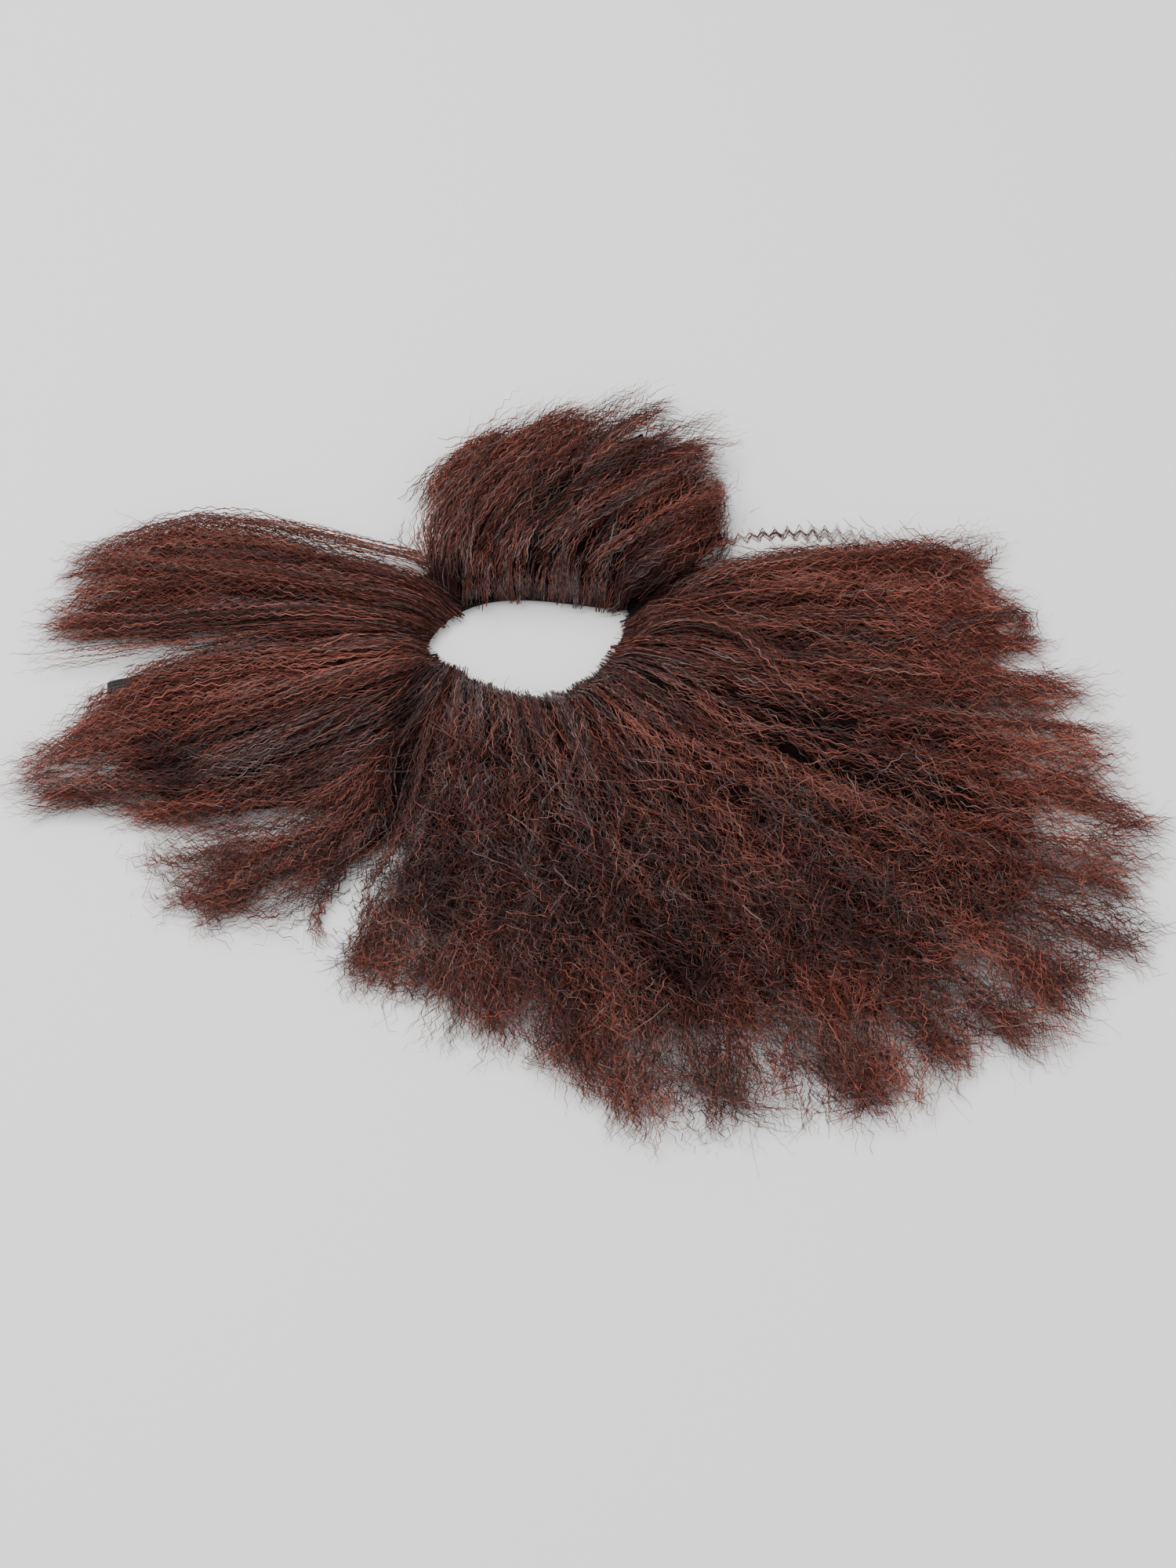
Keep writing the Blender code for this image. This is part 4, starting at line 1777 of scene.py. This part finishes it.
LEFT_JAW = HairBundle(
    name="left_jaw_strands",
    node="left_jaw_hair",
    seed=37,
    swell=(0.4, 0.8, 1.0, 1.0, 0.95, 0.9, 0.8, 0.65, 0.5, 0.25),
    bed=(4.1, 4.1, 4.1, 4.1, 4.1, 4.1, 3.6, 3.6, 2.5, 0.0),
    partings=partings(
        (1.910, -110, -124, -51, 157),
        (1.930, -120, -158, -36, 168),
        (1.952, -142, -183, -20, 180),
        (1.975, -172, -166, -2, -164),
        (1.998, 161, -156, 11, -148),
    ),
    locks=locks((10, 0.2, 11), (22, 0.6, 15), (17, -0.4, 16), (6, -0.2, 14)),
    style=HairStyle(
        tufts=30,
        tuft=Tuft(strands=15, radius=4.0, wave=Wave(5.4, 0.25, 0.9), ash=0.22, light=0.46, frizz=1.7),
        roots=34,
        thatch=350,
        fray=17.0,
        patch=(25.0, 50.0),
    ),
    tresses=(
        Tress(((-37, 5, 5), (-54, 5, 12), (-77, 8, 14), (-105, 14, 12), (-129, 16, 8), (-148, 16, 5))),
        Tress(
            ((-38, 1, 6), (-65, -6, 15), (-95, -13, 15), (-127, -17, 12), (-161, -19, 8), (-190, -17, 3)),
        ),
        Tress(
            ((-67, -14, 13), (-96, -22, 14), (-129, -27, 10), (-154, -29, 7), (-180, -29, 3)),
            swing=1.1,
        ),
        Tress(
            ((-63, -27, 11), (-85, -36, 12), (-109, -42, 9), (-129, -46, 6), (-148, -42, 3)),
            swing=1.1,
        ),
        tip((-147, -15, 8), (-166, -12, 5), (-185, -7, 2)),
        tip((-151, -24, 8), (-169, -23, 4), (-188, -21, 2)),
    ),
)

LEFT_UNDER = HairBundle(
    name="left_under_strands",
    node="left_under_lock",
    seed=41,
    free=(True, False),
    swell=(0.35, 0.7, 0.9, 1.0, 1.0, 1.0, 0.9, 0.8, 0.6, 0.3),
    bed=(4.1, 4.1, 4.1, 4.1, 4.1, 1.7, 1.7, 1.0, 0.4, 0.0),
    partings=partings(
        (1.872, -99, -130, -84, 136),
        (1.889, -103, -142, -72, 136),
        (1.905, -107, -146, -51, 151),
    ),
    locks=locks((10, 0.0, 8), (10, 0.3, 8)),
    style=HairStyle(
        tufts=15,
        tuft=Tuft(
            strands=13,
            radius=4.0,
            wave=Wave(5.2, 0.3, 1.5, loose=0.1),
            ash=0.3,
            light=0.42,
            frizz=2.2,
            curl=9.0,
        ),
        shortest=0.6,
        core_end=0.5,
        roots=14,
        thatch=75,
        fray=30.0,
    ),
    tresses=(
        Tress(
            ((-47, -17, 5), (-66, -41, 8), (-89, -59, 8), (-113, -69, 6), (-134, -76, 4), (-146, -80, 2)),
            swing=1.5,
            radius=2.0,
            frizz=2.0,
        ),
        Tress(
            ((-56, -33, 7), (-77, -55, 8), (-98, -60, 7), (-119, -55, 5), (-137, -46, 3)),
            swing=1.3,
            frizz=2.0,
        ),
        Tress(
            ((-76, -61, 7), (-83, -78, 5), (-92, -88, 3), (-96, -96, 2), (-94, -104, 2)),
            radius=1.6,
            tufts=2,
            swing=1.5,
        ),
        Tress(((-64, -45, 8), (-82, -63, 7), (-103, -71, 5), (-120, -76, 4), (-133, -88, 2)), swing=1.5),
        tip((-108, -54, 6), (-128, -53, 4), (-143, -47, 2)),
        tip((-113, -65, 5), (-129, -67, 3), (-143, -65, 1)),
        tip((-112, -74, 4), (-127, -80, 3), (-141, -80, 1)),
    ),
)

CHIN = HairBundle(
    name="chin_strands",
    node="chin_hair",
    seed=53,
    free=(False, True),
    swell=(0.35, 0.75, 0.95, 1.0, 1.05, 1.0, 0.9, 0.75, 0.5, 0.2),
    bed=(4.1, 4.1, 4.1, 4.1, 4.1, 2.0, 1.0, 0.4, 0.0, 0.0),
    partings=partings(
        (1.420, -85, 58, -190, -72),
        (1.525, -92, 18, -190, -88),
        (1.633, -95, -14, -179, -98),
        (1.723, -99, -38, -149, -108),
        (1.800, -101, -61, -131, -122),
        (1.868, -104, -88, -113, -134),
    ),
    locks=locks((18, 0.2, 22), (17, 0.0, 24), (5, 0.2, 23), (9, 0.1, 20), (5, 0.3, 16)),
    style=HairStyle(
        tufts=27,
        tuft=Tuft(strands=14, radius=5.0, wave=Wave(4.6, 0.45, 1.0), ash=0.40, light=0.38, frizz=1.4),
        roots=70,
        thatch=1250,
        fray=62.0,
        patch=(11.0, 26.0),
        bury=0.3,
        stretch=2.0,
    ),
    tresses=(
        Tress(
            ((-33, -10, 6), (-45, -23, 8), (-55, -39, 9), (-59, -59, 8), (-59, -78, 6)),
            radius=4.0,
            light=0.08,
        ),
        Tress(
            ((-35, -13, 6), (-46, -38, 12), (-57, -65, 12), (-68, -81, 8), (-78, -92, 5), (-87, -123, 2)),
            light=0.3,
            swing=1.2,
        ),
        tip((-2, -150, 12), (-3, -171, 7), (-6, -196, 1)),
        tip((23, -161, 12), (23, -183, 6), (20, -202, 1)),
        tip((35, -167, 11), (37, -186, 6), (35, -202, 1)),
        tip((34, -172, 10), (29, -186, 5), (23, -200, 1)),
        tip((-14, -152, 10), (-16, -167, 5), (-17, -182, 1)),
        tip((6, -163, 10), (3, -178, 5), (-2, -193, 1)),
        tip((-44, -113, 12), (-52, -133, 6), (-60, -153, 1)),
        tip((-34, -121, 12), (-40, -141, 6), (-44, -160, 1)),
        tip((-68, -93, 8), (-79, -107, 4), (-89, -124, 1)),
        tip((-21, -136, 12), (-22, -151, 6), (-28, -167, 1)),
    ),
)

RIGHT_JAW = HairBundle(
    name="right_jaw_strands",
    node="right_jaw_hair",
    seed=67,
    swell=(0.35, 0.75, 0.95, 1.0, 1.05, 1.0, 0.9, 0.75, 0.5, 0.2),
    bed=(4.1, 4.1, 4.1, 4.1, 4.1, 2.0, 1.0, 0.4, 0.0, 0.0),
    partings=partings(
        (1.200, -58, 186, -140, -26),
        (1.250, -64, 157, -178, -50),
        (1.298, -70, 118, -192, -66),
        (1.347, -78, 82, -202, -80),
        (1.420, -85, 60, -191, -72),
    ),
    locks=locks((16, 0.3, 20), (13, 0.1, 22), (13, -0.2, 22), (13, 0.0, 20)),
    style=HairStyle(
        tufts=27,
        tuft=Tuft(strands=14, radius=5.0, wave=Wave(4.8, 0.4, 0.95), ash=0.32, light=0.42, frizz=1.4),
        roots=50,
        longest=1.02,
        thatch=1300,
        fray=50.0,
        patch=(12.0, 28.0),
        bury=0.3,
        stretch=2.0,
    ),
    tresses=(
        tip((53, -173, 10), (54, -190, 5), (52, -205, 1)),
        tip((66, -174, 10), (68, -190, 5), (66, -205, 1)),
        tip((89, -169, 11), (99, -187, 6), (111, -201, 1)),
        tip((111, -162, 11), (125, -181, 6), (142, -197, 1)),
        tip((127, -153, 11), (146, -167, 6), (165, -177, 1)),
        tip((139, -143, 10), (161, -154, 5), (184, -167, 1)),
        tip((85, -172, 10), (87, -188, 5), (87, -201, 1)),
        tip((134, -161, 9), (150, -174, 5), (158, -186, 1)),
        tip((150, -145, 9), (166, -159, 5), (173, -169, 1)),
        tip((118, -175, 9), (131, -191, 5), (137, -199, 1)),
    ),
)

RIGHT_CHEEK = HairBundle(
    name="right_cheek_strands",
    node="right_cheek_hair",
    seed=79,
    free=(True, False),
    swell=(0.4, 0.8, 1.0, 1.0, 1.0, 0.95, 0.85, 0.7, 0.5, 0.25),
    bed=(4.1, 4.1, 4.1, 4.1, 4.1, 3.0, 1.2, 0.6, 0.2, 0.0),
    partings=partings(
        (1.001, 23, 167, 5, -12),
        (1.022, 6, 168, -7, -16),
        (1.045, -10, 170, -27, -18),
        (1.072, -20, 172, -49, -16),
        (1.112, -32, 182, -71, -14),
        (1.156, -46, 190, -107, -22),
        (1.200, -58, 187, -139, -26),
    ),
    locks=locks((8, -0.4, 11), (12, 0.0, 14), (12, 0.0, 14), (22, 0.4, 15), (14, 0.2, 16), (18, 0.6, 18)),
    style=HairStyle(
        tufts=32,
        tuft=Tuft(strands=14, radius=4.4, wave=Wave(5.2, 0.3, 0.85), ash=0.16, light=0.50, frizz=1.3),
        roots=44,
        thatch=1050,
        fray=27.0,
        patch=(15.0, 34.0),
        bury=0.1,
        stretch=1.5,
    ),
    tresses=(
        Tress(
            (
                (42, 2, 5),
                (55, 14, 9),
                (71, 22, 10),
                (90, 24, 10),
                (116, 21, 8),
                (133, 16, 6),
                (144, 11, 4),
            ),
            radius=1.0,
            tufts=3,
            strands=8,
            swing=2.6,
            crimp=4.6,
            loose=0.03,
            upright=10.0,
            light=0.4,
            frizz=0.5,
            curl=2.0,
            width=0.42,
        ),
        Tress(((43, 0, 5), (69, 8, 11), (99, 9, 12), (127, 6, 11), (154, 5, 9), (174, 9, 5))),
        Tress(
            (
                (93, -13, 13),
                (121, -18, 12),
                (143, -24, 9),
                (159, -31, 7),
                (168, -38, 6),
                (178, -35, 5),
                (179, -28, 5),
            ),
            radius=1.6,
            tufts=3,
            swing=1.2,
        ),
        Tress(
            ((62, -22, 12), (102, -35, 14), (129, -43, 12), (156, -52, 9), (178, -58, 6), (194, -67, 3)),
        ),
        Tress(
            ((37, -9, 6), (47, -9, 13), (61, -12, 17), (76, -21, 18), (85, -33, 17), (92, -45, 16)),
            ash=0.1,
            light=0.3,
            radius=5.0,
            tufts=3,
        ),
        Tress(
            ((124, -60, 13), (151, -70, 11), (176, -76, 7), (200, -81, 3)),
            radius=2.0,
            tufts=2,
            curl=6.0,
        ),
        tip((145, -131, 9), (168, -140, 5), (191, -150, 1)),
        tip((149, -116, 9), (173, -125, 5), (199, -138, 1)),
        tip((149, -96, 9), (171, -104, 5), (196, -112, 1)),
        tip((151, -80, 9), (170, -87, 5), (193, -97, 2)),
        tip((148, -8, 8), (164, 0, 6), (175, 11, 4)),
        Tress(
            ((148, -28, 9), (166, -27, 6), (179, -26, 4), (181, -30, 3), (176, -35, 3)),
            radius=2.2,
            tufts=3,
            swing=1.2,
            frizz=1.5,
        ),
    ),
)


def main() -> None:
    """Build the beard piece by piece, then the studio."""
    rim = Rim()
    base = ClothBase()
    shift = base.shift()
    hair = HairFinish().material()
    # matt material of the under-hair, whose near-black tint from the map is painted shade
    under = HairFinish(name="under_hair_shade", roughness=0.95, specular=0.05).material()
    made = [
        (base.build(rim, shift, ClothFinish().material()), "base_cloth"),
        (ElasticStrap().build(shift, ElasticFinish().material()), "elastic"),
    ]
    for bundle in (MOUSTACHE, LEFT_CHEEK, LEFT_JAW, LEFT_UNDER, CHIN, RIGHT_JAW, RIGHT_CHEEK):
        made.append((bundle.build(rim, shift, hair, under), "hair"))
    total = 0
    for piece, slot in made:
        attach(piece, BODY)
        faces = sum(len(p.vertices) - 2 for p in piece.data.polygons)
        total += faces
        log.info("%s: %d triangles", piece.name, faces)
    log.info("all pieces: %d triangles", total)
    Studio().build(shift)


if __name__ == "__main__":
    logging.basicConfig(level=logging.INFO, format="%(message)s")
    main()
